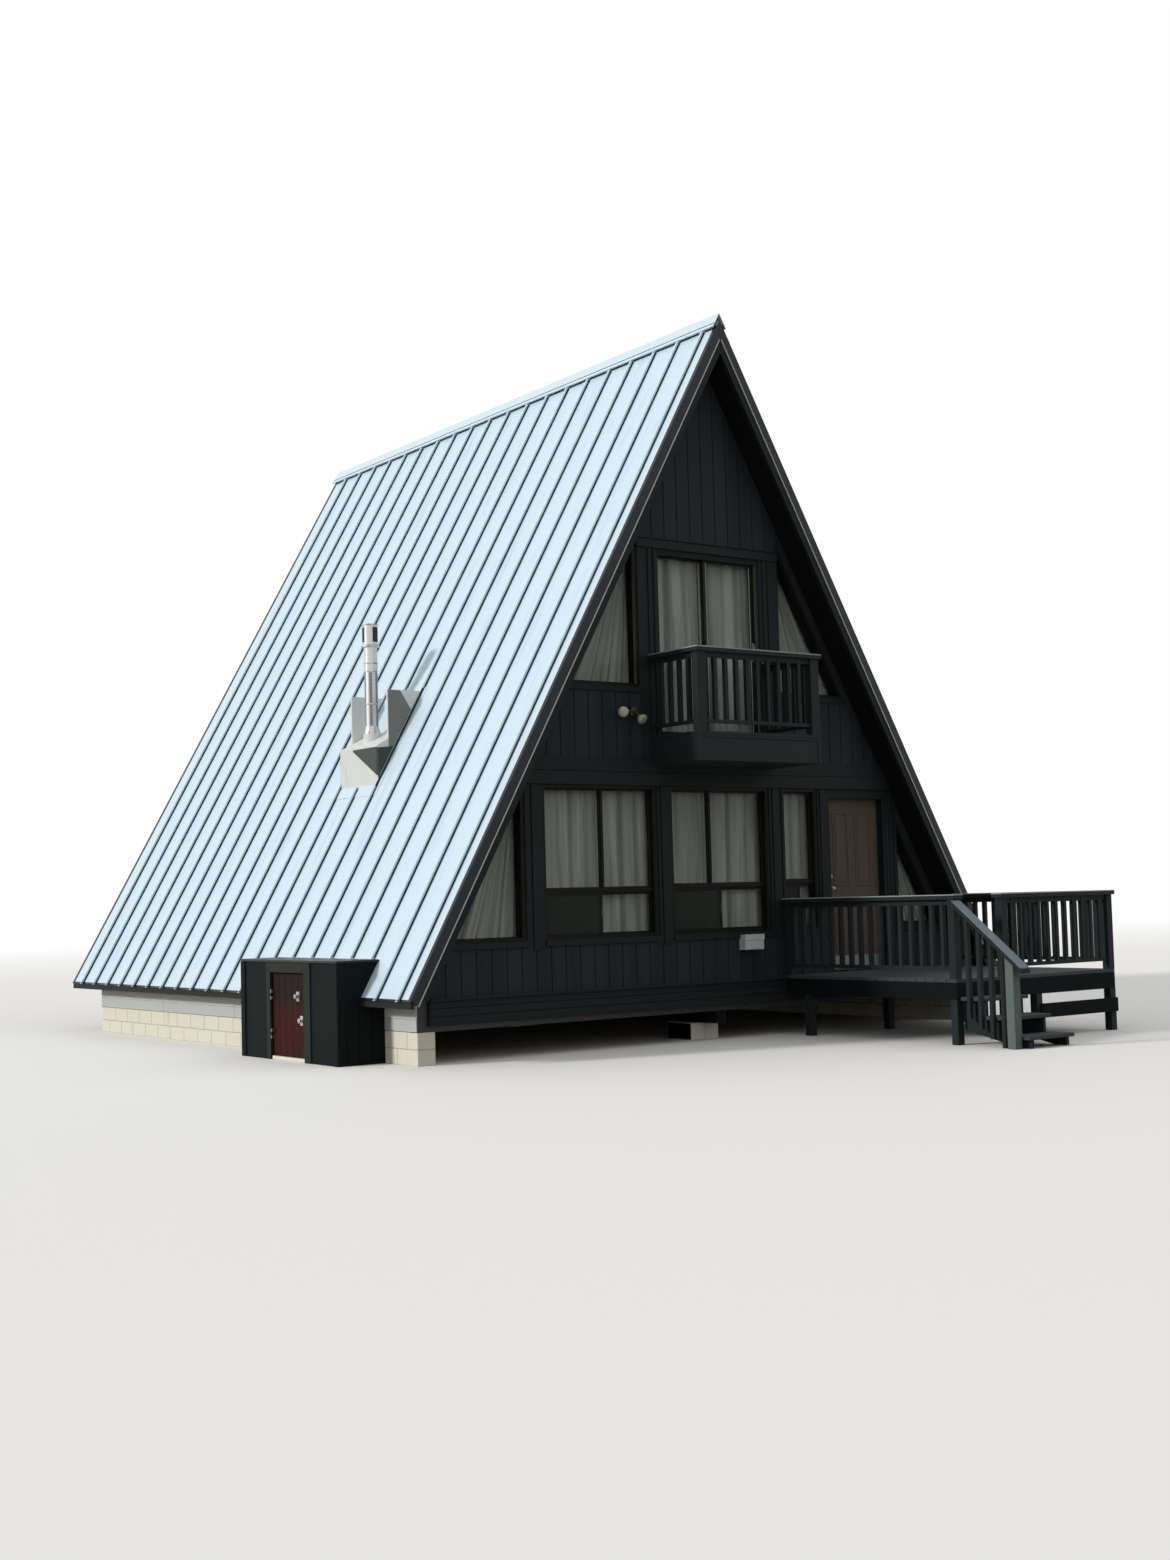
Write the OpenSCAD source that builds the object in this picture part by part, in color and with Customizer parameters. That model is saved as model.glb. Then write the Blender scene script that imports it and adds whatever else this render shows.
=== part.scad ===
// A-frame cabin on block walls: steep standing-seam roof, glazed front gable,
// small balcony, front deck with steps, and a low access box on the left slope.
// Millimetres. +X runs right along the front, +Y to the back, +Z up.
// The origin is on the ground, under the middle of the house.

/* [House] */
// Half the width over the roof sheets at the eaves
roof_half = 4230; // [4000:10:4500]
// Pitch of the slopes, in degrees
roof_pitch = 60.4; // [59:0.1:62]
// Length of the roof, from rake to rake
roof_len = 8950; // [8600:10:9400]
// Overhang of the roof beyond each end wall
rake_over = 345; // [250:5:450]
// Height of the ground floor and of the eave line above the ground
floor_z = 660; // [600:5:760]
// Top of the loft floor above the ground
loft_z = 3360; // [3300:5:3450]
// Thickness of the end walls
wall_t = 140; // [120:5:160]

/* [Roof] */
// Thickness of the metal sheet with its battens
sheet_t = 25; // [20:1:35]
// Depth of the slope down to the underside of its boards
deck_t = 183; // [160:1:190]
// Depth of the slope down to the lining inside the house
lining_t = 240; // [220:1:260]
// Distance between two standing seams
seam_gap = 440; // [400:5:460]
// Height of a standing seam
seam_h = 38; // [25:1:45]
// Width of a standing seam
seam_w = 24; // [16:1:30]
// Distance from the front rake to the first seam
seam_first = 206; // [150:1:230]
// Depth of the metal rake trim
rake_d = 104; // [90:1:112]

/* [Front wall] */
// Height of the window sills
sill_z = 1190; // [1100:5:1250]
// Top of the ground floor wall, under the belly band
head_z = 2834; // [2780:2:2860]
// Height of the belly band
belly_h = 303; // [280:1:330]
// Thickness of the window and door frames
frame_t = 36; // [28:1:45]
// Thickness of the glass units
glass_t = 24; // [16:1:30]
// Distance of the glass behind the face of the wall
glass_in = 80; // [60:1:90]
// Half the width of the upper sliding door
slider_half = 760; // [720:5:790]
// Top of the upper sliding door
slider_top = 5485; // [5400:5:5520]

/* [Doors] */
// Distance of the entry opening from the slope, level with the head of the wall
entry_side = 85; // [80:1:95]
// Width of the entry opening
entry_w = 980; // [960:1:990]
// Thickness of the entry door
door_t = 44; // [38:1:50]
// Gap round each door
door_gap = 8; // [6:1:10]
// Width of the low side door opening
side_door_w = 750; // [700:5:800]
// Top of the low side door opening
side_door_top = 920; // [880:5:940]

/* [Balcony] */
// Half the width of the balcony
balcony_half = 885; // [850:5:920]
// Depth of the balcony from the wall
balcony_d = 827; // [780:1:900]
// Height of the balcony's boxed edge
balcony_h = 319; // [290:1:330]
// Height of the balcony rail above its floor
balcony_rail_h = 898; // [860:1:960]

/* [Deck] */
// Left side of the deck
deck_x0 = 970; // [940:5:1000]
// Right side of the deck
deck_x1 = 3550; // [3500:5:3700]
// Depth of the deck from the wall
deck_d = 2600; // [2400:10:2800]
// Height of the deck's edge boards
deck_edge_h = 215; // [190:1:240]
// Height of the deck rail above its floor
deck_rail_h = 868; // [860:1:960]
// Width of the steps between their stringers
stair_w = 620; // [580:5:640]
// Going of one step
stair_going = 290; // [270:1:310]
// Thickness of balusters
baluster_t = 45; // [38:1:50]
// Distance between balusters, about
baluster_gap = 152; // [130:1:165]

/* [Hidden] */

// Slope geometry. A depth is measured square to the slope, down from the sheet's face.
slope = tan(roof_pitch);
apex_z = floor_z + roof_half * slope;
function roof_x(z, depth = 0) = roof_half - (z - floor_z) / slope - depth / sin(roof_pitch);
function apex_at(depth) = apex_z - depth / cos(roof_pitch);
function slope_z(x) = apex_z - x * slope;

// Lengthwise places
rake_y = roof_len / 2;
wall_y = rake_y - rake_over;
wall_in = wall_y - wall_t;

// Trims at the rakes and the ridge
rake_t = 3;
barge_t = 30;
barge_gap = 9;
ridge_joint = 1;
ridge_cap_t = 6;
ridge_cap_w = 85;
// Hair gap between a slope and what fits against it
slope_seat = 0.1;

// Foundation and platform
block_t = 200;
block_top = 330;
plate_h = 60;
joist_top = floor_z - plate_h;
block_in = 280;
block_out = roof_half - block_in;
plate_in = 40;
plate_out = roof_half - plate_in;
fascia_t = 35;
fascia_drop = 70;
girder_w = 140;
girder_h = 140;
pier_w = 400;
pier_in = 500;
pier_y = wall_y - pier_in;

// Entry opening, in from the right slope
entry_x = round(roof_x(head_z, deck_t)) - entry_side - entry_w;

// Low three-cornered windows: width, depth of the slanted side below the slope, and inner side
low_tri_w = 974;
low_tri_depth = 300;
low_tri_x = round(roof_x(sill_z, low_tri_depth)) - low_tri_w;
right_tri_w = 734;
right_tri_x = low_tri_x + low_tri_w - right_tri_w;
// Front windows: the left one is set in from the left corner window, the narrow one from the entry,
// and the middle one takes the space between their posts
corner_post_w = 230;
left_window_w = 1540;
left_post_w = 183;
right_post_w = 206;
narrow_window_w = 555;
entry_post_w = 153;
left_window_x = corner_post_w - low_tri_x;
narrow_window_x = entry_x - entry_post_w - narrow_window_w;
window_xs = [[left_window_x, left_window_x + left_window_w],
    [left_window_x + left_window_w + left_post_w, narrow_window_x - right_post_w],
    [narrow_window_x, narrow_window_x + narrow_window_w]];
// Upper three-cornered windows: inner side, depth below the slope, sill and width
high_tri_x = 1030;
high_tri_depth = 290;
high_tri_z = 3920;
high_tri_w = roof_x(high_tri_z, high_tri_depth) - high_tri_x;
// Back windows
back_window_xs = [[-2200, -700], [700, 2200]];
back_head_z = 2600;
back_gable_half = 600;
back_gable_z = [3900, 5200];

// Loft
loft_t = 240;
slider_z = loft_z + 20;

// Curtains hang under rods that stand off the wall on brackets
curtain_t = 40;
curtain_off = 25;
curtain_lap = 20;
curtain_seat = 0.3;
rod_s = 25;
rod_z = head_z + 12;
high_rod_z = slider_top + 45;
rod_end = 30;
curtain_drop = 60;
low_curtain_z = sill_z - curtain_drop;
high_curtain_z = loft_z + 15;

// Belly and sill bands stand proud of the wall
band_proud = 30;
sill_band_h = 270;
ledge_h = 20;
ledge_proud = 60;
sill_band_in = 400;
sill_band_half = roof_half - sill_band_in;

// Entry door
threshold_h = 22;
entry_head = 102;
entry_jamb = 50;

// Side box: its outer face, ends and top
side_out = 260;
side_x = roof_half + side_out;
side_wall_t = 100;
side_ahead = 2405;
side_mid = -side_ahead;
side_len = 2170;
side_y0 = side_mid - side_len / 2;
side_y1 = side_mid + side_len / 2;
side_top = 1036;
side_roof_t = 22;
side_roof_lip = 20;
side_sill_h = 40;
side_door_t = 40;
side_door_y0 = side_mid - side_door_w / 2;
side_door_y1 = side_mid + side_door_w / 2;

// Hinges of the two doors: knuckle radius and height, plate size, and their places
hinge_r = 8;
hinge_out = hinge_r + 2;
hinge_k = 35;
hinge_t = 2.5;
hinge_leaf = 32;
hinge_seat = 0.3;
hinge_in = 180;
entry_leaf_x = entry_x + entry_w - entry_jamb - door_gap;
entry_hinge_zs = [floor_z + hinge_in, (floor_z + head_z - entry_head) / 2,
    head_z - entry_head - hinge_in - 3 * hinge_k];
side_leaf_y = side_door_y1 - door_gap;
side_hinge_zs = [side_sill_h + hinge_in, side_door_top - hinge_in - 3 * hinge_k];
side_in = 20;

// Flue
chase_y = [-1630, -755];
chase_z0 = 2982;
chase_front_h = 458;
chase_top_z = 3650;
fin_t = 30;
fin_top = 4090;
fin_w = 170;
fin_in = 150;
fin_foot = 60;
fin_heel = 100;
fin_notch = 260;
seam_clear = 200;
pipe_r = 78;
pipe_top = 4900;
pipe_in = 185;
pipe_x = -roof_x(chase_z0) + pipe_in;
pipe_y = (chase_y[0] + chase_y[1]) / 2;
collar_r = 100;
collar_up = 170;
collar_clear = 1;
collar_z = chase_z0 + chase_front_h + collar_up;
collar_foot = slope_z(-pipe_x - collar_r) + collar_clear;
band_drop = 560;
band_z = pipe_top - band_drop;
band_h = 90;
band_over = 4;
cap_r = 90;
cap_h = 260;

// Flood light: place, base and lamps
flood_x = -1130;
flood_z = 3643;
flood_base = 110;
flood_base_t = 40;
lamp_off = 60;
lamp_r = [30, 56];
lamp_len = 150;
lamp_tilt = 110;
lamp_turn = 25;

// Box on the wall under the middle window
wall_box_x = [294, 576];
wall_box_z = [994, 1162];
wall_box_d = 110;

// Balcony and deck
balcony_y0 = -wall_y - balcony_d;
balcony_step = 17;
balcony_z = loft_z + balcony_step;
rail_cap_t = 38;
rail_cap_w = 140;
post_w = 90;
balcony_post_w = 120;
rail_lip = (rail_cap_w - post_w) / 2;
board_t = 38;
bottom_rail_h = 40;
bottom_rail_up = 90;
deck_y1 = -wall_y - band_proud;
deck_y0 = deck_y1 - deck_d;
deck_step = 20;
deck_z = floor_z + deck_step;
stair_x0 = deck_x0 + post_w / 2;
stair_x1 = stair_x0 + stair_w + 2 * board_t;
stair_rise = 185;
stair_steps = 3;
tread_nose = 25;
stringer_in = 60;
stringer_h = 300;
stringer_foot = 150;
skirt_up = 210;
skirt_h = 120;
skirt_t = 20;
sub_rail_h = 60;
back_post_in = 300;
rake_post_gap = 60;
rake_post_y = -rake_y - rake_post_gap;
baluster_drop = 120;
handrail_up = 830;
handrail_t = 45;
handrail_slope = 0.77;
newel_out = 750;
newel_over = 170;
newel_y = deck_y0 - newel_out;
handrail_end_y = newel_y - newel_over;
function handrail_z(y) = deck_z + handrail_up - (deck_y0 - y) * handrail_slope;
function stair_line_z(y) = deck_z - stair_rise - (deck_y0 - y) * stair_rise / stair_going;

// A bar from one corner to the other
module bar(x, y, z) {
    translate([x[0], y[0], z[0]]) cube([x[1] - x[0], y[1] - y[0], z[1] - z[0]]);
}

// A profile drawn in X and Z, run along Y
module run_y(y0, y1) {
    translate([0, y1, 0]) rotate([90, 0, 0]) linear_extrude(y1 - y0) children();
}

// A profile drawn in Y and Z, run along X
module run_x(x0, x1) {
    translate([x0, 0, 0]) rotate([90, 0, 90]) linear_extrude(x1 - x0) children();
}

// Both hands of a piece drawn on the right
module both_sides() {
    children();
    mirror([1, 0, 0]) children();
}

// Both ends of a piece drawn at the front
module both_ends() {
    children();
    mirror([0, 1, 0]) children();
}

// One slope's layer between two depths, from a level up to a distance from the ridge line
module slope_layer(d0, d1, foot_z, top_x = 0) {
    polygon([[roof_x(foot_z, d0), foot_z], [top_x, apex_at(d0) - top_x * slope],
        [top_x, apex_at(d1) - top_x * slope], [roof_x(foot_z, d1), foot_z]]);
}

// The space under the slopes at a depth, between two levels
module under_slopes(depth, z0, z1) {
    d = depth + slope_seat;
    polygon([[-roof_x(z0, d), z0], [roof_x(z0, d), z0], [max(roof_x(z1, d), 0), min(z1, apex_at(d))],
        [-max(roof_x(z1, d), 0), min(z1, apex_at(d))]]);
}

// A right-angled outline beside the slope: inner side, sill, width, inset, and the level it stops at
module slope_corner(x, z, w, inset = 0, top = apex_z) {
    h = w * slope;
    q = inset * sqrt(1 / (w * w) + 1 / (h * h));
    intersection() {
        polygon([[x + inset, z + inset], [x + w * (1 - q - inset / h), z + inset],
            [x + inset, z + h * (1 - q - inset / w)]]);
        translate([x, z]) square([w, top - inset - z]);
    }
}

// Foundation
module block_wall() {
    bar([block_out - block_t, block_out], [-wall_y, wall_y], [0, block_top]);
}

module foundation_right() {
    color("tan") block_wall();
}

module foundation_left() {
    color("tan") difference() {
        mirror([1, 0, 0]) block_wall();
        bar([-block_out - 1, -block_out + block_t + 1], [side_door_y0, side_door_y1], [-1, block_top + 1]);
    }
    color("tan")
        bar([-side_x, -side_x + side_wall_t], [side_door_y0, side_door_y1], [0, side_sill_h]);
}

module centre_piers() {
    color("gray") for (y = [-pier_y, 0, pier_y])
        bar([-pier_w / 2, pier_w / 2], [y - pier_w / 2, y + pier_w / 2], [0, block_top - girder_h]);
}

module girder() {
    color("peru")
        bar([-girder_w / 2, girder_w / 2], [-wall_y, wall_y], [block_top - girder_h, block_top]);
}

// Joist platform with the wider plate that carries the slopes
module ground_floor() {
    color("dimgray") {
        bar([-block_out, block_out], [-wall_y, wall_y], [block_top, joist_top]);
        bar([-plate_out, plate_out], [-wall_y, wall_y], [joist_top, floor_z]);
    }
}

module sill_band_front() {
    color("darkslategray") {
        bar([-sill_band_half, sill_band_half], [-wall_y - band_proud, -wall_y],
            [floor_z - sill_band_h, floor_z - ledge_h]);
        bar([-sill_band_half, deck_x0], [-wall_y - ledge_proud, -wall_y], [floor_z - ledge_h, floor_z]);
    }
}

// Roof
module slope_deck() {
    run_y(-rake_y + barge_t, rake_y - barge_t) slope_layer(sheet_t, deck_t, floor_z);
    run_y(-wall_in, wall_in) slope_layer(deck_t, lining_t, floor_z);
}

module slope_metal() {
    run_y(-rake_y, rake_y) slope_layer(0, sheet_t, floor_z);
    for (y = [-rake_y + seam_first : seam_gap : rake_y - seam_w])
        run_y(y - seam_w / 2, y + seam_w / 2) slope_layer(-seam_h, 0, floor_z);
}

// What the side box takes out of the left slope
module side_notch() {
    run_y(side_y0, side_y1)
        polygon([[-side_x, floor_z - 1], [-roof_x(floor_z - 1, deck_t), floor_z - 1],
            [-roof_x(side_top, deck_t), side_top], [-side_x, side_top]]);
}

// Where the seams stop for the box's roof plate
module side_seam_notch() {
    top = side_top + side_roof_t;
    run_y(side_y0 - side_roof_lip, side_y1 + side_roof_lip)
        polygon([[-side_x, side_top - 1], [-roof_x(side_top - 1), side_top - 1], [-roof_x(top), top],
            [-side_x, top]]);
}

module roof_deck_right() {
    color("saddlebrown") slope_deck();
}

module roof_deck_left() {
    color("saddlebrown") difference() {
        mirror([1, 0, 0]) slope_deck();
        side_notch();
    }
}

module roof_metal_right() {
    color("lightsteelblue") slope_metal();
}

module roof_metal_left() {
    color("lightsteelblue") difference() {
        mirror([1, 0, 0]) slope_metal();
        side_notch();
        side_seam_notch();
        mirror([1, 0, 0]) run_y(chase_y[0], chase_y[1]) chase_footprint();
    }
}

// The seams stop at the flue's flashings
module chase_footprint() {
    polygon([[roof_x(chase_z0), chase_z0], [roof_x(chase_z0) + seam_clear, chase_z0],
        [roof_x(fin_top) + seam_clear, fin_top], [roof_x(fin_top), fin_top]]);
}

module ridge_cap() {
    z0 = apex_at(-seam_h - slope_seat);
    z1 = apex_at(-seam_h - slope_seat - ridge_cap_t);
    color("slategray") run_y(-rake_y, rake_y)
        polygon([[-ridge_cap_w, z0 - ridge_cap_w * slope], [-ridge_cap_w, z1 - ridge_cap_w * slope], [0, z1],
            [ridge_cap_w, z1 - ridge_cap_w * slope], [ridge_cap_w, z0 - ridge_cap_w * slope], [0, z0]]);
}

module rake_trims() {
    color("slategray") both_ends() both_sides() run_y(-rake_y - rake_t, -rake_y)
        slope_layer(0, rake_d, floor_z, ridge_joint);
}

module barge_boards() {
    color("dimgray") both_ends() both_sides() run_y(-rake_y, -rake_y + barge_t)
        slope_layer(rake_d + barge_gap, deck_t, floor_z, ridge_joint);
}

module eave_fascias() {
    color("darkslategray") {
        bar([plate_out, plate_out + fascia_t], [-rake_y, rake_y], [floor_z - fascia_drop, floor_z]);
        bar([-plate_out - fascia_t, -plate_out], [-rake_y, side_y0], [floor_z - fascia_drop, floor_z]);
        bar([-plate_out - fascia_t, -plate_out], [side_y1, rake_y], [floor_z - fascia_drop, floor_z]);
    }
}

// Floors and end walls
module loft_floor() {
    color("burlywood") run_y(-wall_in, wall_in) under_slopes(lining_t, loft_z - loft_t, loft_z);
}

module window_holes() {
    for (w = window_xs)
        bar(w, [-wall_y - 1, -wall_in + 1], [sill_z, head_z + 1]);
    mirror([1, 0, 0]) run_y(-wall_y - 1, -wall_in + 1) slope_corner(low_tri_x, sill_z, low_tri_w);
}

module wall_front_left() {
    color("darkslategray") difference() {
        intersection() {
            run_y(-wall_y, -wall_in) under_slopes(deck_t, floor_z, head_z);
            bar([-2 * roof_half, entry_x], [-wall_y - 1, -wall_in + 1], [0, head_z + 1]);
        }
        window_holes();
    }
}

module wall_front_right() {
    color("darkslategray") difference() {
        intersection() {
            run_y(-wall_y, -wall_in) under_slopes(deck_t, floor_z, head_z);
            bar([entry_x + entry_w, 2 * roof_half], [-wall_y - 1, -wall_in + 1], [0, head_z + 1]);
        }
        run_y(-wall_y - 1, -wall_in + 1) slope_corner(right_tri_x, sill_z, right_tri_w);
    }
}

module belly_band() {
    run_y(-wall_y - band_proud, -wall_in) under_slopes(deck_t, head_z, head_z + belly_h);
}

module belly_band_front() {
    color("darkslategray") belly_band();
}

module wall_front_gable() {
    color("darkslategray") difference() {
        run_y(-wall_y, -wall_in) under_slopes(deck_t, head_z + belly_h, apex_z);
        bar([-slider_half, slider_half], [-wall_y - 1, -wall_in + 1], [slider_z, slider_top]);
        both_sides() run_y(-wall_y - 1, -wall_in + 1) slope_corner(high_tri_x, high_tri_z, high_tri_w);
    }
}

module wall_back_ground() {
    color("darkslategray") mirror([0, 1, 0]) difference() {
        run_y(-wall_y, -wall_in) under_slopes(deck_t, floor_z, head_z);
        for (w = back_window_xs)
            bar(w, [-wall_y - 1, -wall_in + 1], [sill_z, back_head_z]);
    }
}

module wall_back_gable() {
    color("darkslategray") mirror([0, 1, 0]) difference() {
        run_y(-wall_y, -wall_in) under_slopes(deck_t, head_z + belly_h, apex_z);
        bar([-back_gable_half, back_gable_half], [-wall_y - 1, -wall_in + 1], back_gable_z);
    }
}

module bands_back() {
    color("darkslategray") mirror([0, 1, 0]) {
        belly_band();
        bar([-sill_band_half, sill_band_half], [-wall_y - band_proud, -wall_y],
            [floor_z - sill_band_h, floor_z]);
    }
}

// Windows
module frame_ring(x, z) {
    difference() {
        bar(x, [-wall_y, -wall_in], z);
        bar([x[0] + frame_t, x[1] - frame_t], [-wall_y - 1, -wall_in + 1], [z[0] + frame_t, z[1] - frame_t]);
    }
}

module glass_pane(x, z) {
    bar([x[0] + frame_t, x[1] - frame_t], [-wall_y + glass_in, -wall_y + glass_in + glass_t],
        [z[0] + frame_t, z[1] - frame_t]);
}

module corner_ring(x, z, w, top) {
    difference() {
        run_y(-wall_y, -wall_in) slope_corner(x, z, w, 0, top);
        run_y(-wall_y - 1, -wall_in + 1) slope_corner(x, z, w, frame_t, top);
    }
}

module corner_pane(x, z, w, top) {
    run_y(-wall_y + glass_in, -wall_y + glass_in + glass_t) slope_corner(x, z, w, frame_t, top);
}

// The two lights of the upper sliding door, between two places along Y
module slider_lights(y0, y1) {
    both_sides() bar([frame_t, slider_half - 2 * frame_t], [y0, y1],
        [slider_z + 2 * frame_t, slider_top - 2 * frame_t]);
}

module window_frames_front() {
    color("saddlebrown") {
        for (w = window_xs) frame_ring(w, [sill_z, head_z]);
        mirror([1, 0, 0]) corner_ring(low_tri_x, sill_z, low_tri_w, head_z);
        corner_ring(right_tri_x, sill_z, right_tri_w, head_z);
        both_sides() corner_ring(high_tri_x, high_tri_z, high_tri_w, apex_z);
    }
}

module window_glass_front() {
    color("lightcyan") {
        for (w = window_xs) glass_pane(w, [sill_z, head_z]);
        mirror([1, 0, 0]) corner_pane(low_tri_x, sill_z, low_tri_w, head_z);
        corner_pane(right_tri_x, sill_z, right_tri_w, head_z);
        both_sides() corner_pane(high_tri_x, high_tri_z, high_tri_w, apex_z);
        slider_lights(-wall_y + glass_in, -wall_y + glass_in + glass_t);
    }
}

// Frame and leaf rails of the upper sliding door
module slider_frame() {
    color("saddlebrown") difference() {
        bar([-slider_half, slider_half], [-wall_y, -wall_in], [slider_z, slider_top]);
        slider_lights(-wall_y - 1, -wall_in + 1);
    }
}

module curtain(x, z) {
    bar(x, [-wall_in + curtain_off, -wall_in + curtain_off + curtain_t], z);
}

// A curtain that hangs from the lining of the right slope, behind a three-cornered window
module corner_curtain(x, sill) {
    z = sill - curtain_drop;
    w = roof_x(z, lining_t + curtain_seat) - x + curtain_lap;
    run_y(-wall_in + curtain_off, -wall_in + curtain_off + curtain_t)
        polygon([[x - curtain_lap, z], [x - curtain_lap + w, z], [x - curtain_lap, z + w * slope]]);
}

module curtains_front() {
    color("beige") {
        for (w = window_xs)
            curtain([w[0] - curtain_lap, w[1] + curtain_lap], [low_curtain_z, rod_z - curtain_seat]);
        curtain([-slider_half - curtain_lap, slider_half + curtain_lap],
            [high_curtain_z, high_rod_z - curtain_seat]);
        mirror([1, 0, 0]) corner_curtain(low_tri_x, sill_z);
        corner_curtain(right_tri_x, sill_z);
        both_sides() corner_curtain(high_tri_x, high_tri_z);
    }
}

// A rod from one bracket to another, at a level
module curtain_rod(x0, x1, z) {
    y = -wall_in + curtain_off + curtain_t / 2;
    bar([x0, x1], [y - rod_s / 2, y + rod_s / 2], [z, z + rod_s]);
    for (x = [x0, x1 - rod_s])
        bar([x, x + rod_s], [-wall_in, y], [z, z + rod_s]);
}

module curtain_rods() {
    color("gray") {
        curtain_rod(window_xs[0][0] - rod_end, window_xs[2][1] + rod_end, rod_z);
        curtain_rod(-slider_half - rod_end, slider_half + rod_end, high_rod_z);
    }
}

module window_frames_back() {
    color("saddlebrown") mirror([0, 1, 0]) {
        for (w = back_window_xs) frame_ring(w, [sill_z, back_head_z]);
        frame_ring([-back_gable_half, back_gable_half], back_gable_z);
    }
}

module window_glass_back() {
    color("lightcyan") mirror([0, 1, 0]) {
        for (w = back_window_xs) glass_pane(w, [sill_z, back_head_z]);
        glass_pane([-back_gable_half, back_gable_half], back_gable_z);
    }
}

// Entry
module entry_frame() {
    color("darkslategray") {
        bar([entry_x, entry_x + entry_jamb], [-wall_y, -wall_in], [floor_z, head_z]);
        bar([entry_x + entry_w - entry_jamb, entry_x + entry_w], [-wall_y, -wall_in], [floor_z, head_z]);
        bar([entry_x, entry_x + entry_w], [-wall_y, -wall_in], [head_z - entry_head, head_z]);
        bar([entry_x, entry_x + entry_w], [-wall_y, -wall_in], [floor_z, floor_z + threshold_h]);
    }
}

module entry_door() {
    color("rosybrown") {
        bar([entry_x + entry_jamb + door_gap, entry_leaf_x], [-wall_in - door_t, -wall_in],
            [floor_z + threshold_h + door_gap, head_z - entry_head - door_gap]);
        for (z = entry_hinge_zs) {
            translate([entry_leaf_x + door_gap / 2, -wall_in + hinge_out, z + hinge_k + hinge_seat])
                cylinder(r = hinge_r, h = hinge_k - 2 * hinge_seat, $fn = 32);
            bar([entry_leaf_x, entry_leaf_x + hinge_t], [-wall_in - hinge_leaf, -wall_in + hinge_out],
                [z + hinge_k + hinge_seat, z + 2 * hinge_k - hinge_seat]);
        }
    }
}

// The fixed knuckles of a hinge, above and below the leaf's own
module fixed_knuckles(x, y, z) {
    for (k = [0, 2]) translate([x, y, z + k * hinge_k]) cylinder(r = hinge_r, h = hinge_k, $fn = 32);
}

// Fixed halves of the hinges of both doors
module door_hinges() {
    color("gray") {
        for (z = entry_hinge_zs) {
            fixed_knuckles(entry_leaf_x + door_gap / 2, -wall_in + hinge_out, z);
            for (k = [0, 2]) bar([entry_leaf_x + door_gap - hinge_t, entry_leaf_x + door_gap],
                [-wall_in - hinge_leaf, -wall_in + hinge_out], [z + k * hinge_k, z + (k + 1) * hinge_k]);
        }
        for (z = side_hinge_zs) {
            fixed_knuckles(-side_x - hinge_out, side_door_y1 - door_gap / 2, z);
            for (k = [0, 2]) bar([-side_x - hinge_out, -side_x + side_in + side_door_t],
                [side_door_y1 - hinge_t, side_door_y1], [z + k * hinge_k, z + (k + 1) * hinge_k]);
        }
    }
}

// Balusters in equal spaces between two places along X at one Y
module balusters_x(x0, x1, y, z0, z1) {
    n = round((x1 - x0) / baluster_gap);
    pitch = (x1 - x0) / n;
    for (i = [1 : n - 1])
        bar([x0 + i * pitch - baluster_t / 2, x0 + i * pitch + baluster_t / 2],
            [y - baluster_t / 2, y + baluster_t / 2], [z0, z1]);
}

module balusters_y(y0, y1, x, z0, z1) {
    n = round((y1 - y0) / baluster_gap);
    pitch = (y1 - y0) / n;
    for (i = [1 : n - 1])
        bar([x - baluster_t / 2, x + baluster_t / 2],
            [y0 + i * pitch - baluster_t / 2, y0 + i * pitch + baluster_t / 2], [z0, z1]);
}

// A guard along X: cap, top and bottom rails and balusters, between two post middles
module guard_x(x0, x1, y, z, h) {
    cap_z = z + h - rail_cap_t;
    foot_z = z + bottom_rail_up;
    bar([x0, x1], [y - rail_cap_w / 2, y + rail_cap_w / 2], [cap_z, z + h]);
    bar([x0, x1], [y - board_t / 2, y + board_t / 2], [cap_z - sub_rail_h, cap_z]);
    bar([x0, x1], [y - board_t / 2, y + board_t / 2], [foot_z, foot_z + bottom_rail_h]);
    balusters_x(x0, x1, y, foot_z, cap_z);
}

module guard_y(y0, y1, x, z, h) {
    cap_z = z + h - rail_cap_t;
    foot_z = z + bottom_rail_up;
    bar([x - rail_cap_w / 2, x + rail_cap_w / 2], [y0, y1], [cap_z, z + h]);
    bar([x - board_t / 2, x + board_t / 2], [y0, y1], [cap_z - sub_rail_h, cap_z]);
    bar([x - board_t / 2, x + board_t / 2], [y0, y1], [foot_z, foot_z + bottom_rail_h]);
    balusters_y(y0, y1, x, foot_z, cap_z);
}

module post(x, y, z0, z1) {
    bar([x - post_w / 2, x + post_w / 2], [y - post_w / 2, y + post_w / 2], [z0, z1]);
}

// A post of a guard with the cap carried over it
module guard_post(x, y, z, h) {
    post(x, y, z, z + h - rail_cap_t);
    bar([x - rail_cap_w / 2, x + rail_cap_w / 2], [y - rail_cap_w / 2, y + rail_cap_w / 2],
        [z + h - rail_cap_t, z + h]);
}

// A boarded floor on a rim and joists: sides, ends, rim depth and number of bays
module joist_floor(x, y, z, h, bays) {
    step = (x[1] - x[0] - board_t) / bays;
    difference() {
        bar(x, y, [z - h, z]);
        for (s = [0 : bays - 1])
            bar([x[0] + board_t + s * step, x[0] + (s + 1) * step], [y[0] + board_t, y[1] - board_t],
                [z - h - 1, z - board_t]);
    }
}

module balcony_floor() {
    color("slategray") difference() {
        bar([-balcony_half, balcony_half], [balcony_y0, -wall_y], [balcony_z - balcony_h, balcony_z]);
        bar([-balcony_half - 1, balcony_half + 1], [-wall_y - band_proud, -wall_y + 1],
            [balcony_z - balcony_h - 1, head_z + belly_h]);
    }
}

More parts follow.
